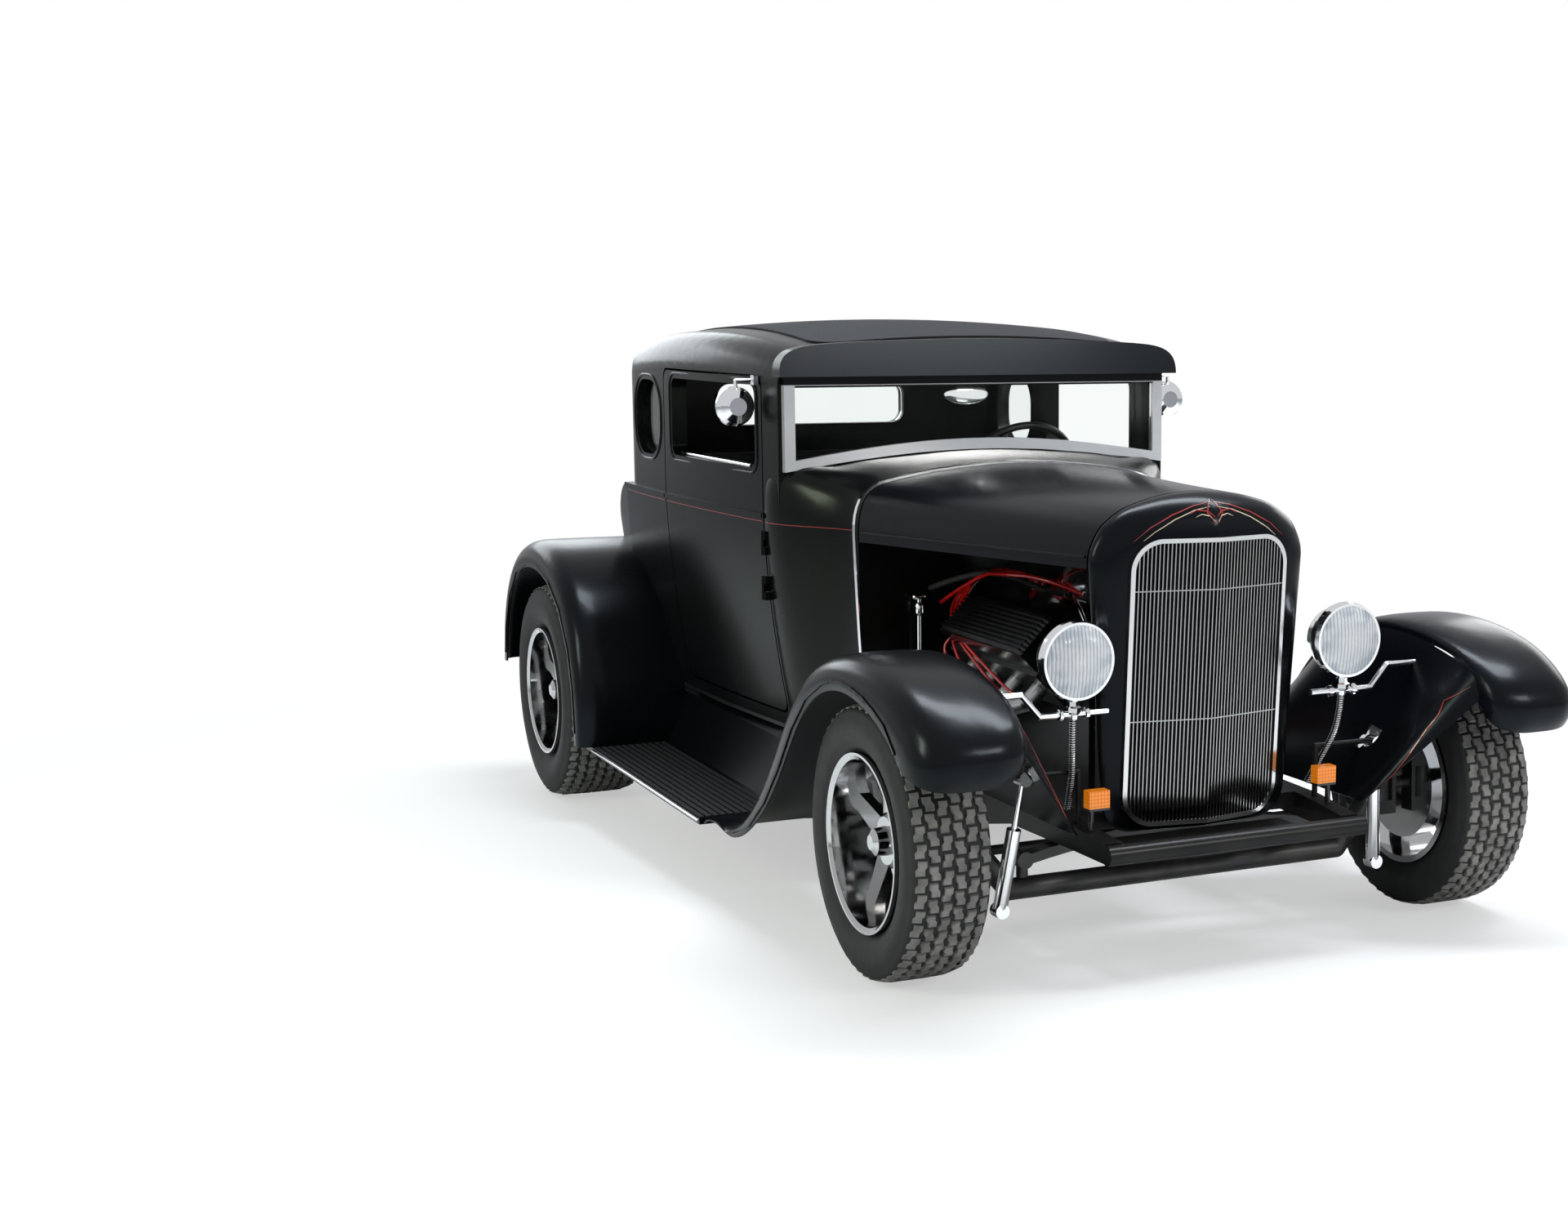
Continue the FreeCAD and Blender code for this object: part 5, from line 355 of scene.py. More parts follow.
def fluted_glass():
    """Headlamp glass with upright flutes and shallow cross steps; its colour is a painted
    reflection of the silvered reflector, white in the middle and blue grey at the rim, with paler
    painted patches and painted shade along the flutes.
    """
    material, tree, point = new_material("fluted lamp glass", 0.06, 0.0, (0.97, 0.98, 1.0))
    flutes = waves(tree, point, "X", {"Scale": 34.0, "Distortion": 0.6, "Detail": 0.0})
    steps = waves(tree, point, "Z", {"Scale": 11.0})
    low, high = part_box("headlamp_lenses")
    radius = (high.z - low.z) / 2
    mirrored = maths(tree, "ABSOLUTE", coordinate(tree, point, "X"))
    flat = {"X": mirrored, "Z": coordinate(tree, point, "Z")}
    centre = (high.x - radius, 0.0, (high.z + low.z) / 2)
    away = distance(tree, add_node(tree, "CombineXYZ", "Vector", flat), centre)
    # Painted reflection: white in the middle fading to blue grey at the rim, as the lit reflector
    # behind would look.
    painted_reflector = ramp(tree, away, radius * 0.1, radius * 0.95, WHITE, (0.6, 0.65, 0.72))
    # Painted reflection in pale patches over the glass.
    patches = grey_ramp(tree, noise(tree, point, 26.0, 1.0), 0.4, 0.58, 0.0, 0.9)
    shade = mix_colour(tree, patches, painted_reflector, (0.9, 0.92, 0.95))
    # Painted shade along each flute.
    dark = grey_ramp(tree, flutes, 0.1, 0.45, 0.4, 0.0)
    return dress(material, {
        "Base Color": mix_colour(tree, dark, shade, (0.12, 0.14, 0.18)),
        "Normal": bump(tree, maths(tree, "ADD", flutes, steps), 0.5, 0.0016),
        "Transmission Weight": 0.25,
        "IOR": 1.45,
    })


def moulded_lens(name, colour, foot_z=None):
    """Coloured lamp plastic moulded in prisms, black below the foot of its lens if one is given;
    the lens gives off a little painted light of its own colour.
    """
    material, tree, point = new_material(name, 0.16, 0.0, colour)
    facets = cells(tree, point, PRISM_SCALE, 0.0, "CHEBYCHEV")
    deep = tuple(channel * 0.35 for channel in colour)
    shade = mix_colour(tree, grey_ramp(tree, facets, 0.1, 0.5, 0.0, 1.0), colour, deep)
    # Painted light: the lens gives off a little light of its own colour so that it looks bright.
    painted_glow = colour
    if foot_z:
        below = grey_ramp(tree, coordinate(tree, point, "Z"), foot_z - FADE, foot_z, 1.0, 0.0)
        shade = mix_colour(tree, below, shade, HOUSING_BLACK)
        painted_glow = mix_colour(tree, below, colour, BLACK)
    return dress(material, {
        "Base Color": shade,
        "Emission Color": painted_glow,
        "Emission Strength": 0.35,
        "Normal": bump(tree, facets, 0.6, 0.002),
        "Coat Weight": 0.3,
        "Coat Roughness": 0.04,
    })


def cast_metal(name, base, pale, roughness, metallic):
    """Grainy cast metal with paler patches, and dust low on the car."""
    material, tree, point = new_material(name, roughness, metallic)
    shade = ramp(tree, noise(tree, point, 14.0, 5.0), 0.35, 0.72, base, pale)
    return dress(material, {
        "Base Color": mix_colour(tree, dust_mask(tree, 9.0, 0.5), shade, DUST_ON_IRON),
        "Normal": bump(tree, noise(tree, point, 260.0, 4.0), 0.22, 0.0008),
    })


def stitched_leather(name, base, pale, grain_scale, stripe=None):
    """Grained leather; a seat's has a stripe of colour along every second seam."""
    material, tree, point = new_material(name, 0.48)
    grain = cells(tree, point, grain_scale)
    shade = ramp(tree, noise(tree, point, 6.0, 4.0), 0.3, 0.75, base, pale)
    if stripe:
        seams = {"Scale": math.pi / 10 / CHANNEL_WIDTH / 2, "Phase Offset": math.pi / 2}
        bands = grey_ramp(tree, waves(tree, point, "X", seams), 0.97, 0.985, 0.0, 1.0)
        shade = mix_colour(tree, bands, shade, stripe)
    return dress(material, {"Base Color": shade, "Normal": bump(tree, grain, 0.3, 0.0008)})


def ribbed_conduit():
    """Flexible metal conduit, ringed along its length, with painted shade in the grooves between
    the rings.
    """
    material, tree, point = new_material("flexible conduit", 0.2, 1.0, (0.6, 0.6, 0.62))
    rings = waves(tree, point, "Z", {"Scale": 55.0, "Distortion": 0.0})
    return dress(material, {
        # Painted shade: the grooves between the rings are coloured dark and the ridges bright.
        "Base Color": ramp(tree, rings, 0.15, 0.5, (0.12, 0.12, 0.125), (0.66, 0.66, 0.68)),
        "Normal": bump(tree, rings, 0.9, 0.002),
    })


def glossy_colour(name, colour, dark, roughness=0.25):
    """Glossy colour, a little darker in streaks."""
    material, tree, point = new_material(name, roughness, 0.0, colour)
    streak = ramp(tree, noise(tree, point, 60.0), 0.3, 0.7, dark, colour)
    return dress(material, {"Base Color": streak, "Coat Weight": 0.4})


# Body paint: its bluish second tone and bluish reflection tint are a painted reflection of the sky.
PAINT = satin_paint(
    "satin black paint", (0.0018, 0.0022, 0.0034), (0.003, 0.0034, 0.004), 0.25, 0.02,
    (0.8, 0.9, 1.0),
)
# Side paint: its greenish second tone and greenish reflection tint are a painted reflection of
# green surroundings on the cab's sides.
SIDE_PAINT = satin_paint(
    "satin side paint", (0.0019, 0.0022, 0.0028), (0.0028, 0.0034, 0.0029), 0.25, 0.02,
    (0.93, 1.0, 0.9),
)
CHASSIS = satin_paint("chassis black", (0.006, 0.006, 0.007), (0.009, 0.009, 0.01), 0.32, 0.4)
AXLE = cast_metal("axle grey", (0.022, 0.023, 0.025), (0.045, 0.047, 0.05), 0.42, 0.5)
CHROME = plated_chrome("bright plating", 0.05, 0.86)
# The wheels' plating is darker than the other chrome: painted shade, standing in for the dark
# surroundings the wheels reflect.
WHEEL_CHROME = plated_chrome("wheel plating", 0.07, 0.52)
GRILLE_PLATING = barred_plating("grille plating", 0.34, 0.66)
SCREEN_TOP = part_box("windshield_frame")[1].z
# The top 30 mm of the windscreen frame is coloured near black.
SCREEN_TRIM = brushed_bright("bright screen trim", 0.8, 0.16, 0, SCREEN_TOP - 0.03)
BARE_STEEL = brushed_bright("pipe steel", 0.42, 0.32, 1)
VINYL = grained_vinyl()
SIDEWALL = tyre_rubber("tyre sidewall", (0.010, 0.010, 0.011), (0.028, 0.027, 0.026), 0.5)
TREAD = tyre_rubber("dusty tread", (0.08, 0.079, 0.076), (0.25, 0.24, 0.22), 0.9)
WINDOW = clear_glass("window glass", (0.93, 0.96, 0.95))
LAMP_GLASS = fluted_glass()
AMBER = moulded_lens("amber lens", (1.0, 0.27, 0.008), level(308, -178, 381).z)
RED = moulded_lens("red lens", (0.42, 0.004, 0.004))
BLOCK = cast_metal("black engine enamel", (0.008, 0.008, 0.009), (0.02, 0.02, 0.022), 0.35, 0.3)
COVER = cast_metal("black finned alloy", (0.02, 0.02, 0.021), (0.05, 0.05, 0.053), 0.2, 0.9)
RADIATOR = cast_metal("radiator black", (0.004, 0.004, 0.005), (0.015, 0.015, 0.016), 0.5, 0.2)
LEATHER = stitched_leather(
    "seat leather", (0.010, 0.009, 0.010), (0.02, 0.018, 0.018), 220.0, (0.3, 0.01, 0.012)
)
GRIP = stitched_leather("wheel rim grip", (0.012, 0.012, 0.012), (0.03, 0.03, 0.03), 300.0)
RED_WIRE = glossy_colour("red lead", (0.55, 0.008, 0.008), (0.28, 0.004, 0.004))
RED_LINE = glossy_colour("red striping paint", (0.33, 0.012, 0.012), (0.2, 0.006, 0.006), 0.3)
CREAM_LINE = glossy_colour("cream striping paint", (0.72, 0.62, 0.45), (0.5, 0.4, 0.28), 0.3)
CONDUIT = ribbed_conduit()
BLACK_HOSE = tyre_rubber("black hose", (0.008, 0.008, 0.008), (0.02, 0.02, 0.02), 0.4)
BOARD_RUBBER = tyre_rubber(
    "board matting", (0.005, 0.005, 0.006), (0.016, 0.016, 0.016), 0.4, 0.04
)

CORNERS = ("front_left", "front_right", "rear_left", "rear_right")
FINISHES = (
    (CHASSIS, "frame rear_axle floor_pan dashboard".split()),
    (AXLE, "front_axle front_suspension knuckle_left knuckle_right tie_rod".split()),
    (CHROME, "shock_absorbers induction mirror_left mirror_right headlamps".split()),
    (WHEEL_CHROME, ["wheel_" + corner for corner in CORNERS]),
    (SIDEWALL, ["tyre_" + corner for corner in CORNERS]),
    (BARE_STEEL, ("exhaust",)),
    (BLOCK, ("engine_block",)),
    (COVER, ("valve_covers",)),
    (RADIATOR, ("front_drive",)),
    (PAINT, "grille_shell hood visor front_fenders rear_fenders running_boards".split()),
    (SIDE_PAINT, "cowl cab_shell door_left door_right deck_lid".split()),
    (GRILLE_PLATING, ("grille_bars",)),
    (VINYL, ("roof_insert",)),
    (SCREEN_TRIM, ("windshield_frame",)),
    (WINDOW, ("window_glass",)),
    (LAMP_GLASS, ("headlamp_lenses",)),
    (AMBER, ("turn_signals",)),
    (RED, ("tail_lamps",)),
    (LEATHER, ("seat",)),
    (GRIP, ("steering_wheel",)),
)
for finish, names in FINISHES:
    for node_name in names:
        slots = nodes[node_name].data.materials
        slots.clear()
        slots.append(finish)


# Mesh helpers


def place_piece(name, data, material, body):
    """Puts a mesh or curve into the scene as a named piece that rides on a body."""
    data.materials.append(material)
    piece = bpy.data.objects.new(name, data)
    bpy.context.scene.collection.objects.link(piece)
    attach(piece, body)
    return piece


def make_piece(name, mesh, material, body="root", smooth=False):
    """Turns a bmesh into a named piece whose faces all look outwards."""
    bmesh.ops.recalc_face_normals(mesh, faces=mesh.faces)
    data = bpy.data.meshes.new(name)
    mesh.to_mesh(data)
    mesh.free()
    for face in data.polygons:
        face.use_smooth = smooth
    return place_piece(name, data, material, body)


def thicken(piece, thickness, offset=0.0):
    """Gives a sheet its thickness."""
    solid = piece.modifiers.new("thickness", "SOLIDIFY")
    solid.thickness = thickness
    solid.offset = offset


def skin(mesh, rows, closed=False):
    """Faces between neighbouring rows of vertices."""
    for low, high in zip(rows, rows[1:]):
        for index in range(len(low) if closed else len(low) - 1):
            after = (index + 1) % len(low)
            mesh.faces.new((low[index], low[after], high[after], high[index]))


def add_disc_stack(mesh, centre, direction, rings, sides):
    """A turned part: rings of (radius, distance along) skinned together and closed at the ends."""
    turn = Vector(direction).to_track_quat("Z", "Y").to_matrix().to_4x4()
    place = Matrix.Translation(centre) @ turn
    spokes = [(-math.sin(angle), math.cos(angle)) for angle in spaced(0, math.tau, sides + 1)[:-1]]
    rows = [
        [mesh.verts.new(place @ Vector((radius * x, radius * y, height))) for x, y in spokes]
        for radius, height in rings
    ]
    skin(mesh, rows, closed=True)
    mesh.faces.new(rows[0][::-1])
    mesh.faces.new(rows[-1])


def turned(name, stacks, material, smooth=True, body="root"):
    """A piece of turned parts, each given by its centre, direction, rings and sides."""
    mesh = bmesh.new()
    for stack in stacks:
        add_disc_stack(mesh, *stack)
    return make_piece(name, mesh, material, body, smooth)


def add_box(mesh, centre, size):
    """A block that leans with the body's rake."""
    place = Matrix.Translation(centre) @ RAKED @ Matrix.Diagonal((*size, 1.0))
    bmesh.ops.create_cube(mesh, size=1.0, matrix=place)


def lead(name, points, radius, material, body="root"):
    """A wire, hose or rod along a smooth line through loose control points."""
    curve = bpy.data.curves.new(name, "CURVE")
    curve.dimensions = "3D"
    curve.bevel_depth = radius
    curve.bevel_resolution = 3
    curve.use_fill_caps = True
    line = curve.splines.new("NURBS")
    line.points.add(len(points) - 1)
    for control, point in zip(line.points, points):
        control.co = (*point, 1.0)
    line.order_u = 3
    line.use_endpoint_u = True
    line.resolution_u = 6
    return place_piece(name, curve, material, body)


def surface_of(name):
    """A ray target made of a CAD node at rest."""
    mesh = bmesh.new()
    mesh.from_mesh(nodes[name].data)
    tree = BVHTree.FromBMesh(mesh)
    mesh.free()
    return tree


def ribbon(name, tree, rays, width, material, body="root", proud=0.0006, tapered=False):
    """A stripe or strip laid on a surface where a row of rays meets it."""
    mesh = bmesh.new()
    met = [hit[:2] for hit in (tree.ray_cast(*ray) for ray in rays) if hit[0] is not None]
    pairs = []
    for index, (place, normal) in enumerate(met):
        ahead = met[min(index + 1, len(met) - 1)][0] - met[max(index - 1, 0)][0]
        side = ahead.cross(normal).normalized()
        share = index / max(len(met) - 1, 1)
        full = math.sin(math.pi * (0.08 + 0.84 * share)) if tapered else 1.0
        half = side * width * full / 2
        lift = normal * proud
        pairs.append((mesh.verts.new(place + half + lift), mesh.verts.new(place - half + lift)))
    skin(mesh, pairs)
    thicken(make_piece(name, mesh, material, body, False), proud * 2)


# Tyres

# Each axle: its end of the car, half track, distance behind the front axle, tyre radius and
# width in mm, and the tread's ribs and pitches.
AXLES = (("front", 729.0, 0.0, 316.0, 199.0, 6, 52), ("rear", 750.0, 2629.0, 347.0, 275.0, 8, 56))
RIM_SEAT = 206.5
# Shares of the width across, and of the way from the rim's seat to the tread.
TYRE_PROFILE = [
    (-0.40, 0.0), (-0.415, 0.07), (-0.452, 0.13), (-0.458, 0.19), (-0.472, 0.21), (-0.490, 0.36),
    (-0.498, 0.44), (-0.4995, 0.455), (-0.4995, 0.56), (-0.498, 0.575), (-0.490, 0.68),
    (-0.482, 0.70), (-0.474, 0.80), (-0.455, 0.87), (-0.41, 0.915), (-0.30, 0.935), (0.0, 0.942),
]
CROWN_SHARES = [(0.0, 1.0), (0.36, 0.99), (0.445, 0.93), (0.485, 0.74)]
TYRE_STEPS = 72
BELT_SHARE = 0.925
TREAD_SHARE = 0.89
GROOVE_SHARE = 0.026
SHOULDER_LEAN = math.radians(15)
BLOCK_STEP = 0.42
BLOCK_WAIST = 0.2


def crown_share(across):
    """Share of the tyre's depth at which its outer skin stands, this far across."""
    across = abs(across)
    for (near, high), (far, low) in zip(CROWN_SHARES, CROWN_SHARES[1:]):
        if across <= far:
            return high + (low - high) * (across - near) / (far - near)
    return CROWN_SHARES[-1][1]


def tread_block(mesh, place, half_width, half_length, depth, flipped):
    """One block whose two halves are shifted across the tyre, with its top at the place given."""
    inner = half_width * (1 - BLOCK_STEP)
    waist = half_length * BLOCK_WAIST
    outline = [
        (-half_width, -half_length), (inner, -half_length), (inner, -waist), (half_width, waist),
        (half_width, half_length), (-inner, half_length), (-inner, waist), (-half_width, -waist),
    ]
    mirror = -1 if flipped else 1
    low, high = (
        [
            mesh.verts.new(place @ (Vector((mirror * x * spread, y * spread, -drop)) * MM))
            for x, y in outline
        ]
        for drop, spread in ((depth, 1.06), (0.0, 0.94))
    )
    mesh.faces.new(low[::-1])
    mesh.faces.new(high)
    skin(mesh, (low, high), closed=True)


def tyre(name, body, centre, radius, width, ribs, pitches):
    """A tyre whose carcass is turned and whose tread blocks stand on its belt."""
    def reach(share):
        return RIM_SEAT + (radius - RIM_SEAT) * share

    mesh = bmesh.new()
    profile = TYRE_PROFILE + [(-across, share) for across, share in TYRE_PROFILE[-2::-1]]
    ring = [
        mesh.verts.new(centre + Vector((across * width, 0, reach(share))) * MM)
        for across, share in profile
    ]
    edges = [mesh.edges.new(pair) for pair in zip(ring, ring[1:] + ring[:1])]
    bmesh.ops.spin(
        mesh, geom=ring + edges, cent=centre, axis=(1, 0, 0), angle=math.tau, steps=TYRE_STEPS,
        use_merge=True,
    )
    carcass = make_piece(name + "_carcass", mesh, SIDEWALL, body, True)
    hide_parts(name)

    blocks = bmesh.new()
    rib_share = (TREAD_SHARE - GROOVE_SHARE * (ribs - 1)) / ribs
    for rib in range(ribs):
        across = -TREAD_SHARE / 2 + rib_share / 2 + rib * (rib_share + GROOVE_SHARE)
        shoulder = rib in (0, ribs - 1)
        lean = math.copysign(SHOULDER_LEAN, across) if shoulder else 0.0
        outer = reach(crown_share(across)) - (2.5 if shoulder else 0.4)
        for pitch in range(pitches):
            angle = math.tau * (pitch + (rib % 3) / 3) / pitches
            half_length = math.tau * outer / pitches * (0.41 if pitch % 4 else 0.37)
            place = (
                Matrix.Translation(centre)
                @ Matrix.Rotation(angle, 4, "X")
                @ Matrix.Translation(Vector((across * width, 0, outer)) * MM)
                @ Matrix.Rotation(lean, 4, "Y")
            )
            depth = outer - reach(BELT_SHARE)
            tread_block(blocks, place, rib_share * width / 2, half_length, depth, rib % 2)
    make_piece(name + "_tread", blocks, TREAD, body, False)


for side, side_name in SIDES:
    for end, half_track, behind, radius, width, ribs, pitches in AXLES:
        corner = "%s_%s" % (end, side_name)
        centre = Vector((side * half_track, behind + FRONT_AXLE_Y, radius)) * MM
        tyre("tyre_" + corner, "wheel_" + corner, centre, radius, width, ribs, pitches)


# Engine

PORTS = (245.0, 350.0, 505.0, 610.0)
POSTS = 8
POST_CIRCLE = 0.034
CAP_RINGS = [
    (0.03, -0.05), (0.036, 0.0), (0.036, 0.035), (0.052, 0.04), (0.052, 0.062), (0.046, 0.075),
    (0.02, 0.078),
]
POST_RINGS = [(0.007, 0.0), (0.007, 0.016), (0.004, 0.022)]
ENGINE_LEADS = (
    ("upper_hose", 0.021, BLACK_HOSE, [
        (70, 8, 900), (80, 60, 895), (80, 120, 830), (60, 190, 780), (40, 250, 740),
    ]),
    ("fuel_line", 0.005, CHROME, [
        (-130, 180, 640), (-150, 200, 760), (-120, 330, 800), (-70, 440, 790), (-50, 500, 780),
    ]),
    ("brake_booster_hose", 0.008, BLACK_HOSE, [
        (-60, 560, 770), (-150, 650, 830), (-230, 780, 800), (-260, 884, 760),
    ]),
    ("red_loom", 0.0055, RED_WIRE, [
        (-90, 330, 800), (-170, 400, 840), (-200, 560, 830), (-190, 720, 815), (-230, 885, 720),
    ]),
)
DIPSTICK_RUN = [(-300, 872, 590), (-300, 872, 650), (-300, 871, 700), (-300, 870, 735)]
PLEATS = 96
PLEAT_DEPTH = 0.0035
PLEAT_HEIGHT = 0.036
PLEAT_DROP = 0.054


def ignition():
    """The distributor, its cap and the eight red leads to the plugs."""
    foot = level(0, 700, 700)
    turned("distributor_body", [(foot, UP, CAP_RINGS, 24)], BLOCK, True)
    posts = []
    for angle in spaced(0, math.tau, POSTS + 1)[:-1]:
        out = Vector((math.cos(angle), math.sin(angle), 0)) * POST_CIRCLE
        posts.append((foot + out + Vector((0, 0, 0.07)), UP, POST_RINGS, 10))
    turned("distributor_posts", posts, RED_WIRE)
    for side, side_name in SIDES[::-1]:
        for index, port in enumerate(PORTS):
            spread = index * 12.0
            run = levels(side, [
                (34, 690 + index * 8, 785),
                (60 + spread, 720 + spread, 822 + spread * 0.4),
                (180 + spread * 0.6, 790 - spread * 0.5, 800 - spread * 0.5),
                (292 - spread * 0.2, 740 - index * 22, 700 - spread),
                (322 - spread * 0.3, port + 90, 600 + spread * 0.8),
                (300, port + 18, 560),
                (268, port, 548),
            ])
            lead("plug_lead_%s_%d" % (side_name, index), run, 0.0042, RED_WIRE)


def engine_trim():
    """Hoses and lines with their clamps, and the dipstick with its handle."""
    for name, radius, material, points in ENGINE_LEADS:
        lead(name, levels(1, points), radius, material)
    clamp = [(0.0235, -0.007), (0.0235, 0.007)]
    clamps = [
        (level(72, 22, 900), (0, 1, -0.1), clamp, 24),
        (level(48, 226, 756), (-0.3, 1, -0.7), clamp, 24),
    ]
    turned("hose_clamps", clamps, CHROME, False)
    lead("dipstick_tube", levels(1, DIPSTICK_RUN), 0.006, CHROME)
    stem = [(0.007, 0.0), (0.012, 0.008), (0.012, 0.03), (0.006, 0.038)]
    grip = [(0.005, 0.0), (0.007, 0.006), (0.007, 0.03), (0.005, 0.036)]
    handle = [(level(-300, 870, 690), UP, stem, 16), (level(-318, 870, 741), (1, 0, 0), grip, 12)]
    turned("dipstick_handle", handle, CHROME, True)


def filter_element():
    """The pleated red ring between the air cleaner's chrome pans, and its wing nut."""
    low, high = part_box("induction")
    centre = (low + high) / 2
    radius = (high.x - low.x) / 2 + 0.001
    mesh = bmesh.new()
    rows = ([], [])
    for index in range(PLEATS * 2):
        angle = math.tau * index / (PLEATS * 2)
        reach = radius + PLEAT_DEPTH * (index % 2)
        x, y = centre.x + math.cos(angle) * reach, centre.y + math.sin(angle) * reach
        for row, z in zip(rows, (high.z - PLEAT_DROP, high.z - PLEAT_DROP + PLEAT_HEIGHT)):
            row.append(mesh.verts.new((x, y, z)))
    skin(mesh, rows, closed=True)
    make_piece("filter_pleats", mesh, RED_WIRE)
    rings = [(0.016, -0.002), (0.016, 0.003), (0.009, 0.006), (0.009, 0.010), (0.005, 0.012)]
    top = Vector((centre.x, centre.y, high.z))
    turned("filter_nut", [(top, UP, rings, 20)], CHROME, True)


ignition()
engine_trim()
filter_element()


# Trim on the body

# Windows: front y, rear y, low z, high z and corner radius in mm.
DOOR_WINDOW = (1286.0, 1914.0, 1064.0, 1290.0, 30.0)
QUARTER_WINDOW = (2032.0, 2282.0, 1052.0, 1278.0, 92.0)
REVEAL_MARGIN = 15.0
REVEAL_RADIUS = 0.004
BELT_STRIPE_Z = 921.0
# The rays that lay these lines run level while the drawing is raked, so where they start sets
# the height at which they meet the car.
STROKE_START_Y = -420.0
APRON_START_Y = -900.0
STROKES = (
    (RED_LINE, 0.0030, [(4, 1074), (50, 1066), (105, 1047), (160, 1020), (205, 985)]),
    (CREAM_LINE, 0.0022, [(8, 1064), (50, 1056), (100, 1037), (150, 1010), (180, 988)]),
    (RED_LINE, 0.0032, [(3, 1040), (18, 1054), (44, 1057), (66, 1046)]),
    (CREAM_LINE, 0.0022, [(4, 1030), (16, 1043), (34, 1047), (52, 1040)]),
    (RED_LINE, 0.0028, [(2, 1080), (12, 1066), (20, 1050), (10, 1036), (3, 1024)]),
)
FRONT_BEAD = [
    (-308, 580), (-250, 630), (-190, 654), (-129, 672), (-66, 682), (-3, 685), (58, 680),
    (116, 665), (219, 615), (318, 528), (418, 411), (519, 310), (637, 225), (795, 172),
]
REAR_BEAD = [
    (2134, 200), (2147, 330), (2189, 452), (2282, 568), (2405, 640), (2545, 672), (2694, 669),
    (2824, 627), (2931, 539), (2997, 425), (3022, 310),
]
FENDER_FLANK = 0.85
APRON_LINE = [
    (592, 640), (552, 604), (535, 570), (512, 536), (490, 500), (468, 464), (446, 430), (424, 402),
]
HOOD_BEAD_RADIUS = 0.0035
TRUNK_BOARD_Y = 2262.0
TRUNK_BOARD_GAP = 4.0
SILL_INSET = 34.0
CARD_THICKNESS = 0.005


def cowl_strip():
    """The bright strip over the joint of hood and cowl, with its little round-headed bolts."""
    tree = surface_of("cowl")
    middle = level(0, 903, 760)
    rays = []
    for angle in map(math.radians, spaced(-22, 202, 90)):
        outward = Vector((math.cos(angle), 0, math.sin(angle)))
        rays.append((middle + outward * 0.9, -outward))
    ribbon("cowl_strip", tree, rays, 0.011, CHROME, proud=0.0022)
    head = [(0.0042, -0.001), (0.0042, 0.001), (0.0022, 0.0024)]
    bolts = []
    for ray in rays[3:-3:6]:
        place, normal = tree.ray_cast(*ray)[:2]
        if place is not None:
            bolts.append((place + normal * 0.002, normal, head, 10))
    turned("cowl_strip_bolts", bolts, CHROME, True)


def belt_stripes():
    """Thin red lines just under the belt bead, one run to each panel."""
    for side, side_name in SIDES:
        door = "door_" + side_name
        for node, body, front_y, rear_y in (
            ("cowl", "root", 912, 1226), (door, door, 1248, 1982), ("cab_shell", "root", 2000, 2420)
        ):
            rays = [flank_ray(side, y, BELT_STRIPE_Z) for y in spaced(front_y, rear_y, 24)]
            name = "belt_line_%s_%s" % (node, side_name)
            ribbon(name, surface_of(node), rays, 0.0019, RED_LINE, body)


def opening_reach(across, up):
    """How far the rounded opening of the grille reaches from its middle in one direction, in mm."""
    near, far = 0.0, OPENING_HALF_HEIGHT * 2
    for _ in range(24):
        reach = (near + far) / 2
        over_x = max(abs(across) * reach - OPENING_HALF + OPENING_CORNER, 0.0)
        over_z = max(abs(up) * reach - OPENING_HALF_HEIGHT + OPENING_CORNER, 0.0)
        if math.hypot(over_x, over_z) < OPENING_CORNER:
            near = reach
        else:
            far = reach
    return near


def outline_reach(tree, across, up):
    """How far the shell's side wall stands from the grille's middle in one direction, in mm."""
    middle = level(0, SHELL_EDGE_Y, SHELL_MIDDLE_Z)
    start = level(across * BESIDE_CAR, SHELL_EDGE_Y, SHELL_MIDDLE_Z + up * BESIDE_CAR)
    place = tree.ray_cast(start, (middle - start).normalized())[0]
    return (place - middle).length / MM


def shell_section(across, up, inner, outer):
    """One section of the shell, from the lip in the opening over the roll and back inside."""
    def face_y(reach):
        rise = SHELL_MIDDLE_Z + up * reach - SHELL_BOTTOM_Z
        return SHELL_FOOT_Y - SHELL_LEAN * rise + SHELL_SLOPE * abs(across) * reach

    roll = SHELL_EDGE_Y - face_y(outer) - 1.0

    def rolled(last, back):
        line = []
        for step in range(1, ROLL_STEPS + 1):
            turn = math.pi / 2 * step / ROLL_STEPS
            reach = inner + (last - inner) * math.sin(turn)
            line.append((reach, face_y(reach) + roll * (1 - math.cos(turn)) + back))
        return line + [(last, SHELL_EDGE_Y)]

    lip = [(inner, face_y(inner) + SHELL_LIP), (inner, face_y(inner))]
    section = lip + rolled(outer, 0.0) + rolled(outer - SHELL_SHEET, SHELL_SHEET)[::-1]
    return [level(across * reach, y, SHELL_MIDDLE_Z + up * reach) for reach, y in section]


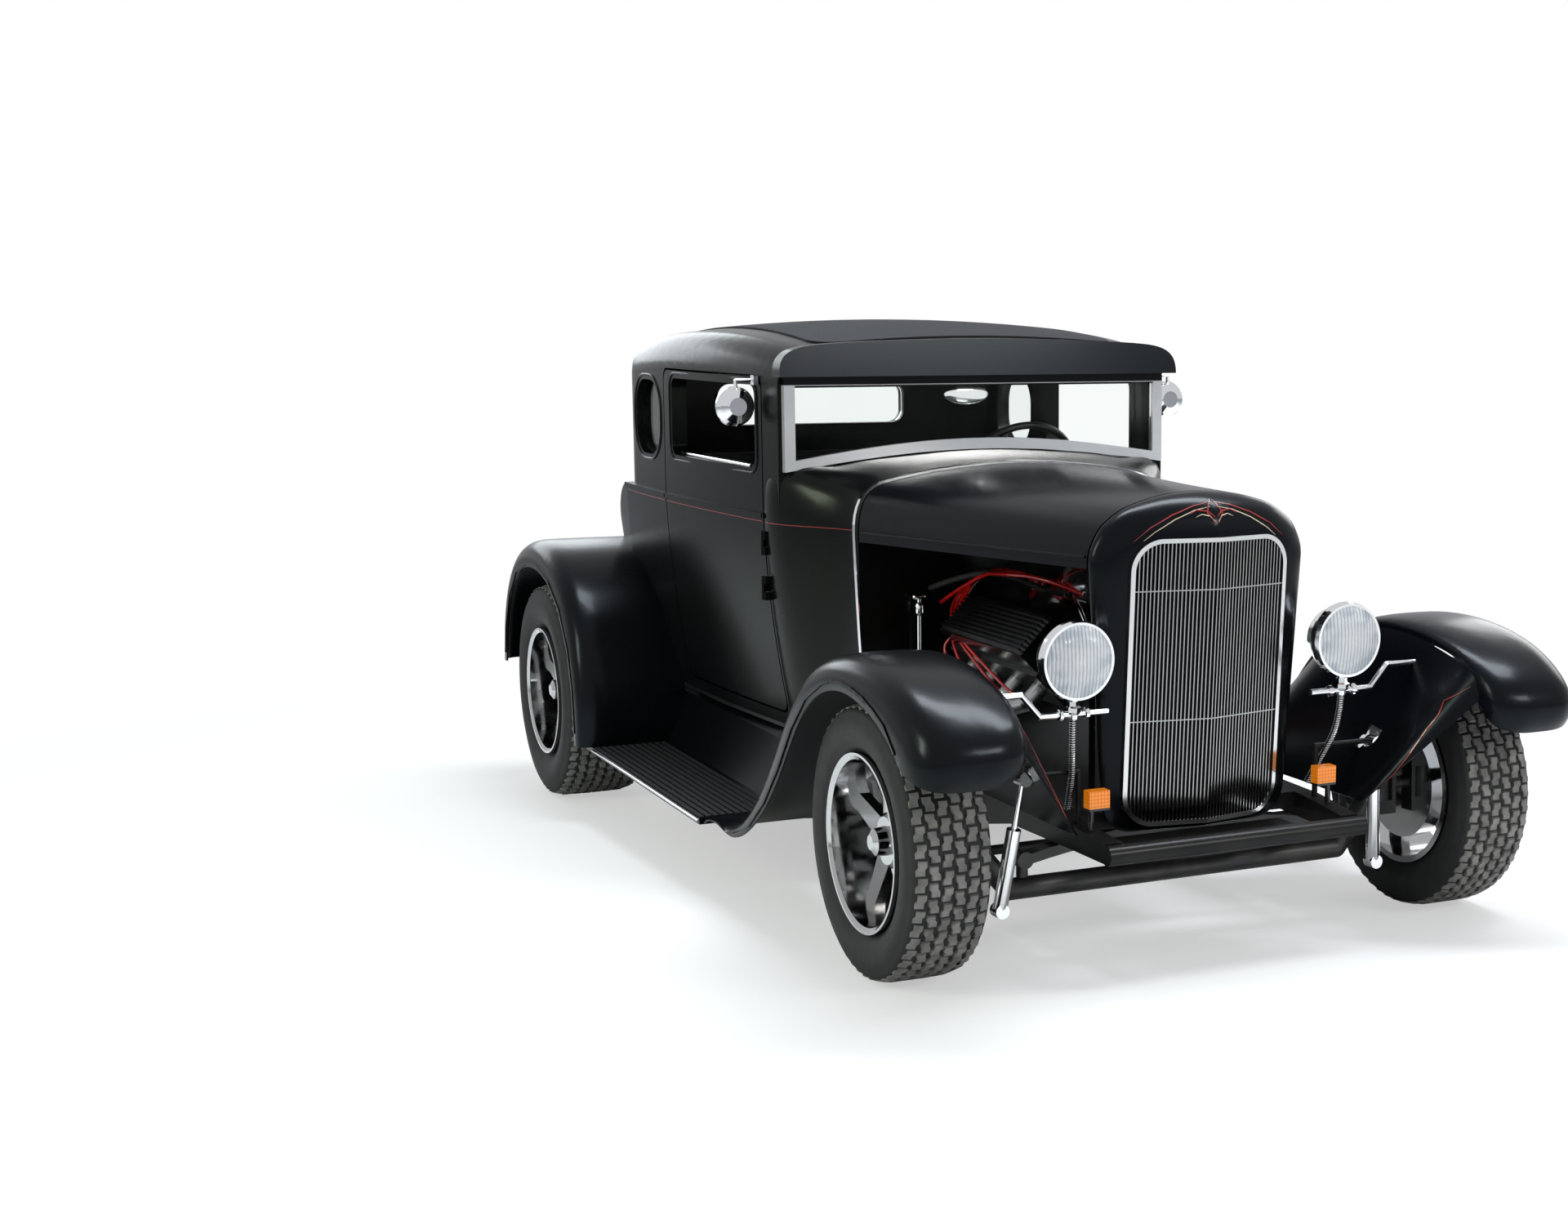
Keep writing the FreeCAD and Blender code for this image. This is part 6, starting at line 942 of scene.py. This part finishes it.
def rolled_shell():
    """The grille shell in sheet metal, its front rolled back into its sides as in the photo."""
    tree = surface_of("grille_shell")
    mesh = bmesh.new()
    mesh.from_mesh(nodes["grille_shell"].data)
    bmesh.ops.bisect_plane(
        mesh,
        geom=mesh.verts[:] + mesh.edges[:] + mesh.faces[:],
        plane_co=level(0, SHELL_EDGE_Y, SHELL_MIDDLE_Z),
        plane_no=(level(0, -1, 0) - level(0, 0, 0)).normalized(),
        clear_outer=True,
    )
    columns = []
    for index in range(SHELL_COLUMNS):
        angle = math.tau * index / SHELL_COLUMNS
        across, up = math.sin(angle), math.cos(angle)
        inner, outer = opening_reach(across, up), outline_reach(tree, across, up)
        section = shell_section(across, up, inner, outer)
        columns.append([mesh.verts.new(place) for place in section])
    skin(mesh, columns + columns[:1], closed=True)
    bmesh.ops.recalc_face_normals(mesh, faces=mesh.faces)
    for edge in mesh.edges:
        if len(edge.link_faces) == 2 and edge.calc_face_angle(0.0) > CREASE_ANGLE:
            edge.smooth = False
    surface = BVHTree.FromBMesh(mesh)
    piece = make_piece("rolled_shell", mesh, PAINT, "root", True)
    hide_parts("grille_shell")
    return surface


def shell_flourish():
    """Symmetric striping of plain tapering lines over the rolled top of the grille shell."""
    tree = rolled_shell()
    for number, (paint, width, knots) in enumerate(STROKES):
        for side, side_name in SIDES:
            rays = [(level(side * x, STROKE_START_Y, z), REARWARD) for x, z in along(knots, 8)]
            name = "shell_stripe_%d_%s" % (number, side_name)
            ribbon(name, tree, rays, width, paint, tapered=True)


def fender_beads():
    """The rolled bead just outside each wheel opening, only where the fender's flank is met."""
    for side, side_name in SIDES:
        for node, knots in (("front_fenders", FRONT_BEAD), ("rear_fenders", REAR_BEAD)):
            tree = surface_of(node)
            rays = []
            for ray in (flank_ray(side, y, z) for y, z in along(knots, 6)):
                place = tree.ray_cast(*ray)[0]
                if place is not None and side * place.x > FENDER_FLANK:
                    rays.append(ray)
            ribbon("%s_bead_%s" % (node, side_name), tree, rays, 0.007, PAINT, proud=0.0016)


def fender_stripes():
    """A red line down the edge of each front fender's inner apron."""
    tree = surface_of("front_fenders")
    for side, side_name in SIDES:
        rays = [
            (level(side * x, APRON_START_Y, z), REARWARD) for x, z in along(APRON_LINE, 6)
        ]
        ribbon("fender_stripe_" + side_name, tree, rays, 0.003, RED_LINE, tapered=True)


def hood_beads():
    """The raised line along each lower edge of the hood top."""
    tree = surface_of("hood")
    for side, side_name in SIDES:
        line = zip(spaced(-58, 880, 13), spaced(942, 919, 13))
        met = [tree.ray_cast(*flank_ray(side, y, z))[0] for y, z in line]
        lead("hood_bead_" + side_name, met, HOOD_BEAD_RADIUS, PAINT, "hood")


def trunk_board():
    """Dark board behind the seat that closes the cabin off from the trunk."""
    tree = surface_of("cab_shell")
    mesh = bmesh.new()
    rows = []
    for z in spaced(400.0, 1040.0, 9):
        wall = tree.ray_cast(level(0, TRUNK_BOARD_Y, z), Vector((1, 0, 0)))[0]
        half = wall.x / MM - TRUNK_BOARD_GAP
        rows.append([mesh.verts.new(level(x, TRUNK_BOARD_Y, z)) for x in (-half, half)])
    skin(mesh, rows)
    thicken(make_piece("trunk_board", mesh, BOARD_RUBBER), 0.004, -1.0)


def window_sills():
    """Bright channel along the foot of each door window."""
    for side, side_name in SIDES:
        body = "door_" + side_name
        low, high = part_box(body)
        x = max(abs(low.x), abs(high.x)) / MM - SILL_INSET
        line = levels(side, [(x - 6, 1300, 1069), (x, 1600, 1069), (x, 1900, 1069)])
        lead("window_channel_" + side_name, line, 0.006, CHROME, body)


def rounded_ring(front_y, rear_y, low_z, high_z, corner, margin):
    """Points (y, z) around a rounded rectangle that stands a margin outside the given one."""
    ring = []
    radius = corner + margin
    for centre_y, centre_z, first in (
        (rear_y - corner, low_z + corner, 270),
        (rear_y - corner, high_z - corner, 0),
        (front_y + corner, high_z - corner, 90),
        (front_y + corner, low_z + corner, 180),
    ):
        for angle in map(math.radians, spaced(first, first + 90, 7)):
            ring.append((centre_y + radius * math.cos(angle), centre_z + radius * math.sin(angle)))
    return ring


def window_reveals():
    """The raised bead that frames each side window."""
    for side, side_name in SIDES:
        door = "door_" + side_name
        for name, node, body, window in (
            ("door_reveal_", door, door, DOOR_WINDOW),
            ("quarter_reveal_", "cab_shell", "root", QUARTER_WINDOW),
        ):
            tree = surface_of(node)
            met = []
            for y, z in rounded_ring(*window, REVEAL_MARGIN):
                place = tree.ray_cast(*flank_ray(side, y, z))[0]
                if place is not None and side * place.x > 0:
                    met.append(place)
            ring = met + met[:1]
            lead(name + side_name, ring, REVEAL_RADIUS, SIDE_PAINT, body)


def door_cards():
    """A stitched trim panel with a small bright handle inside each door."""
    for side, side_name in SIDES:
        body = "door_" + side_name
        tree = surface_of(body)
        outward = Vector((side, 0, 0))
        mesh = bmesh.new()
        rows = []
        for z in spaced(560.0, 1020.0, 9):
            walls = [tree.ray_cast(level(0, y, z), outward)[0] for y in spaced(1296.0, 1936.0, 9)]
            rows.append([mesh.verts.new(wall - outward * CARD_THICKNESS / 2) for wall in walls])
        skin(mesh, rows)
        card = make_piece("door_card_" + side_name, mesh, GRIP, body, True)
        thicken(card, CARD_THICKNESS)
        place = tree.ray_cast(level(0, 1800, 900), outward)[0]
        handle = bmesh.new()
        stem = [(0.018, 0.0), (0.018, 0.006), (0.008, 0.01), (0.008, 0.024), (0.005, 0.026)]
        add_disc_stack(handle, place, -outward, stem, 24)
        behind = level(0, 30, 0) - level(0, 0, 0)
        add_box(handle, place - outward * 0.02 + behind, (0.008, 0.075, 0.012))
        make_piece("door_handle_" + side_name, handle, CHROME, body, False)


def board_trim():
    """Ribbed matting on each running board and a bright edge."""
    for side, side_name in SIDES:
        mesh = bmesh.new()
        for index in range(11):
            front, rear = levels(side, [(655 + index * 20.5, y, 165) for y in (1030, 2060)])
            middle = (front + rear) / 2 + Vector((0, 0, 0.0006))
            add_box(mesh, middle, (0.0125, (rear - front).length, 0.0024))
        make_piece("board_matting_" + side_name, mesh, BOARD_RUBBER)
        edge = levels(side, [(873, y, 158) for y in (1020, 1500, 2060)])
        lead("board_edge_" + side_name, edge, 0.0042, CHROME, "root")


cowl_strip()
belt_stripes()
shell_flourish()
fender_beads()
fender_stripes()
window_sills()
window_reveals()
trunk_board()
hood_beads()
door_cards()
board_trim()


# Lamps, valance and the cabin

CLOTH_FRAMES = 20
VOXEL = 0.012
SEAM_DEPTH = 0.009
GAUGE_PLACES = (130, 210, 290, 370, 450)


def front_valance():
    """Dark plate that closes the view down between the shell's foot and the crossmember."""
    mesh = bmesh.new()
    add_box(mesh, level(0, -185, 284), (0.46, 0.19, 0.003))
    for x in (-210, -70, 70, 210):
        rings = [(0.009, 0.0), (0.009, 0.003), (0.006, 0.006), (0.002, 0.007)]
        add_disc_stack(mesh, level(x, -262, 285), UP, rings, 12)
    make_piece("front_valance", mesh, CHASSIS)


def lamp_leads():
    """Flexible conduits from the lamp stems, and the clamps on the lamp bars."""
    conduit = [
        (363, -150, 596), (363, -148, 560), (358, -138, 500), (344, -110, 440), (330, -60, 360)
    ]
    clamp = [(0.011, -0.006), (0.0135, -0.004), (0.0135, 0.004), (0.011, 0.006)]
    nut = [(0.013, -0.02), (0.019, -0.014), (0.019, -0.004), (0.014, 0.0), (0.014, 0.010)]
    for side, side_name in SIDES:
        lead("lamp_conduit_" + side_name, levels(side, conduit), 0.0085, CONDUIT)
        stacks = [(level(side * x, -150, 599), (1, 0, 0), clamp, 20) for x in (330, 396)]
        stacks.append((level(side * 363, -150, 618), UP, nut, 6))
        turned("lamp_clamps_" + side_name, stacks, CHROME, False)


def interior_mirror():
    """The rounded mirror over the dash and its stalk."""
    mesh = bmesh.new()
    centre = level(-15, 1190, 1262)
    place = Matrix.Translation(centre) @ Matrix.Diagonal((0.068, 0.010, 0.032, 1.0))
    bmesh.ops.create_uvsphere(mesh, u_segments=32, v_segments=16, radius=1.0, matrix=place)
    make_piece("interior_mirror", mesh, CHROME, "root", True)
    stalk = [centre, centre + Vector((0, 0.012, 0.02)), centre + Vector((0, 0.012, 0.045))]
    lead("interior_mirror_stalk", stalk, 0.005, CHROME)


def gauges():
    """Five round instruments with bright rims on the dash."""
    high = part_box("dashboard")[1]
    tree = surface_of("dashboard")
    rim = [(0.036, -0.002), (0.036, 0.004), (0.031, 0.006), (0.030, 0.003)]
    face = [(0.0295, 0.0), (0.0295, 0.0045)]
    starts = [Vector((x * MM, high.y + 0.4, high.z - 0.06)) for x in GAUGE_PLACES]
    places = [tree.ray_cast(start, -REARWARD)[0] for start in starts]
    rims = [(place, REARWARD, rim, 32) for place in places]
    turned("gauge_rims", rims, CHROME, True)
    faces = [(place, REARWARD, face, 32) for place in places]
    turned("gauge_faces", faces, CREAM_LINE, False)


def extent(points):
    """The low and high corners of the box around some points."""
    return [
        Vector([pick(point[axis] for point in points) for axis in range(3)]) for pick in (min, max)
    ]


def loose_parts(mesh):
    """The sets of vertices that hang together."""
    left_over = set(mesh.verts)
    parts = []
    while left_over:
        waiting = [next(iter(left_over))]
        part = set(waiting)
        while waiting:
            vert = waiting.pop()
            fresh = {edge.other_vert(vert) for edge in vert.link_edges} - part
            part |= fresh
            waiting.extend(fresh)
        left_over -= part
        parts.append(part)
    return parts


def seat_pads():
    """The bench's cushion and back, swelled as cloth over their foam, with sewn channels."""
    whole = bmesh.new()
    whole.from_mesh(nodes["seat"].data)
    bmesh.ops.remove_doubles(whole, verts=whole.verts, dist=0.00002)
    parts = sorted(loose_parts(whole), key=lambda part: min(vert.co.y for vert in part))
    for part, pad_name in zip(parts, ("seat_cushion", "seat_back")):
        pad = whole.copy()
        keep = {vert.index for vert in part}
        spare = [vert for vert in pad.verts if vert.index not in keep]
        bmesh.ops.delete(pad, geom=spare, context="VERTS")
        low, high = extent([vert.co for vert in pad.verts])
        middle = (low + high) / 2
        shrink = [1.0 - 2 * PAD_ROOM / (high[axis] - low[axis]) for axis in range(3)]
        for vert in pad.verts:
            away = [(vert.co[axis] - middle[axis]) * shrink[axis] for axis in range(3)]
            vert.co = middle + Vector(away)
        piece = make_piece(pad_name, pad, LEATHER, "root", True)
        settle_pad(piece, low, high)
        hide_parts("seat")
    whole.free()


def settle_pad(piece, low, high):
    """Remesh a pad, swell it as cloth and sew channels into it, kept inside its solid's box."""
    scene = bpy.context.scene
    bpy.context.view_layer.objects.active = piece
    remesh = piece.modifiers.new("remesh", "REMESH")
    remesh.mode = "VOXEL"
    remesh.voxel_size = VOXEL
    bpy.ops.object.modifier_apply(modifier=remesh.name)
    before = [vert.co.copy() for vert in piece.data.vertices]
    cloth = piece.modifiers.new("swell", "CLOTH")
    settings = cloth.settings
    settings.use_pressure = True
    settings.uniform_pressure_force = 4.0
    settings.effector_weights.gravity = 0.0
    settings.quality = 4
    cloth.point_cache.frame_start = 1
    cloth.point_cache.frame_end = CLOTH_FRAMES
    for number in range(1, CLOTH_FRAMES + 1):
        scene.frame_set(number)
    bpy.ops.object.modifier_apply(modifier=cloth.name)
    scene.frame_set(1)
    verts = piece.data.vertices
    for vert, start in zip(verts, before):
        move = vert.co - start
        if move.length > PAD_ROOM:
            vert.co = start + move * (PAD_ROOM / move.length)
    normals = [vert.normal.copy() for vert in verts]
    for vert, normal in zip(verts, normals):
        seam = abs(math.sin(math.pi * vert.co.x / CHANNEL_WIDTH))
        vert.co -= normal * SEAM_DEPTH * (1.0 - seam) ** 2
        vert.co = Vector([min(max(vert.co[axis], low[axis]), high[axis]) for axis in range(3)])
    piece.data.update()
    smooth = piece.modifiers.new("smooth", "SUBSURF")
    smooth.levels = 1
    smooth.render_levels = 1


front_valance()
lamp_leads()
interior_mirror()
gauges()
seat_pads()


# Studio

# Each panel: name, place, size in metres, power in watts and colour.
PANELS = (
    ("sky_panel", (0.8, -0.6, 4.8), (1.2, 4.6), 330.0, (0.9, 0.96, 1.0)),
    ("right_panel", (-5.6, -1.2, 3.0), (1.2, 2.0), 110.0, (0.9, 1.0, 0.8)),
    ("front_panel", (2.6, -6.4, 3.2), (1.8, 1.2), 110.0, (1.0, 0.99, 0.96)),
    ("left_panel", (5.2, 1.5, 2.8), (4.0, 2.0), 90.0, WHITE),
    ("rear_panel", (-1.0, 6.2, 3.0), (4.0, 2.0), 90.0, (0.9, 0.96, 1.0)),
)
PANEL_AIM = Vector((0, 0, 0.6))
PHOTO_WIDTH = 1920
PHOTO_HEIGHT = 1484
FOCAL_PIXELS = 2711.2
PRINCIPAL_POINT = (1341.2, 807.3)
SENSOR_WIDTH = 36.0
EYE = (-2613.6, -4556.2, 1354.6)
YAW_PITCH_ROLL = (27.707, 7.350, -0.618)


def ray_kind(tree, kind):
    return add_node(tree, "LightPath", "Is %s Ray" % kind, {})


def seen_rays(tree):
    """One on rays from the camera, straight or through glass, and zero on the others."""
    return maths(tree, "MAXIMUM", ray_kind(tree, "Camera"), ray_kind(tree, "Transmission"))


def studio_air():
    """White where the camera sees it, half as bright in reflections, and a pale blue light."""
    world = bpy.data.worlds.new("studio air")
    bpy.context.scene.world = world
    world.use_nodes = True
    tree = world.node_tree
    air = tree.nodes["Background"]
    feed(tree, air, {"Color": (0.62, 0.66, 0.72), "Strength": 0.55})
    white = add_node(tree, "Background", "Background", {"Color": WHITE})
    glossy = maths(tree, "MULTIPLY", ray_kind(tree, "Glossy"), 0.5)
    share = maths(tree, "MAXIMUM", seen_rays(tree), glossy)
    blend = mix_shader(tree, share, air.outputs["Background"], white)
    feed(tree, tree.nodes["World Output"], {"Surface": blend})


def studio_floor():
    """A pale floor that fades to the backdrop's white around the car."""
    mesh = bmesh.new()
    bmesh.ops.create_grid(mesh, x_segments=1, y_segments=1, size=40.0)
    data = bpy.data.meshes.new("studio_floor")
    mesh.to_mesh(data)
    mesh.free()
    floor = bpy.data.objects.new("studio_floor", data)
    bpy.context.scene.collection.objects.link(floor)
    material, tree, point = new_material("pale floor", 0.9, 0.0, (0.86, 0.86, 0.86))
    dress(material, {"Specular IOR Level": 0.1})
    far = grey_ramp(tree, distance(tree, point), 2.6, 4.4, 0.5, 1.0)
    share = maths(tree, "MULTIPLY", seen_rays(tree), far)
    lit = tree.nodes["Principled BSDF"].outputs["BSDF"]
    blend = mix_shader(tree, share, lit, add_node(tree, "Emission", "Emission", {}))
    feed(tree, tree.nodes["Material Output"], {"Surface": blend})
    data.materials.append(material)


def studio_lamps():
    """Soft panels over and around the car."""
    for name, place, size, power, colour in PANELS:
        light = bpy.data.lights.new(name, "AREA")
        light.shape = "RECTANGLE"
        light.size, light.size_y = size
        light.energy = power
        light.color = colour
        lamp = bpy.data.objects.new(name, light)
        lamp.location = place
        lamp.rotation_euler = (PANEL_AIM - Vector(place)).to_track_quat("-Z", "Y").to_euler()
        bpy.context.scene.collection.objects.link(lamp)


def camera():
    """The photograph's camera, matched to the car's own lines."""
    data = bpy.data.cameras.new("photo_camera")
    data.sensor_width = SENSOR_WIDTH
    data.lens = FOCAL_PIXELS / PHOTO_WIDTH * SENSOR_WIDTH
    data.shift_x = (PHOTO_WIDTH / 2 - PRINCIPAL_POINT[0]) / PHOTO_WIDTH
    data.shift_y = (PRINCIPAL_POINT[1] - PHOTO_HEIGHT / 2) / PHOTO_WIDTH
    data.clip_end = 200.0
    eye = bpy.data.objects.new("photo_camera", data)
    yaw, pitch, roll = map(math.radians, YAW_PITCH_ROLL)
    turn = (
        Matrix.Rotation(-yaw, 4, "Z")
        @ Matrix.Rotation(math.pi / 2 - pitch, 4, "X")
        @ Matrix.Rotation(roll, 4, "Z")
    )
    place = Vector((EYE[0], EYE[1] + FRONT_AXLE_Y, EYE[2])) * MM
    eye.matrix_world = Matrix.Translation(place) @ turn
    bpy.context.scene.collection.objects.link(eye)
    bpy.context.scene.camera = eye
    bpy.context.scene.view_settings.view_transform = "Standard"


studio_air()
studio_floor()
studio_lamps()
camera()
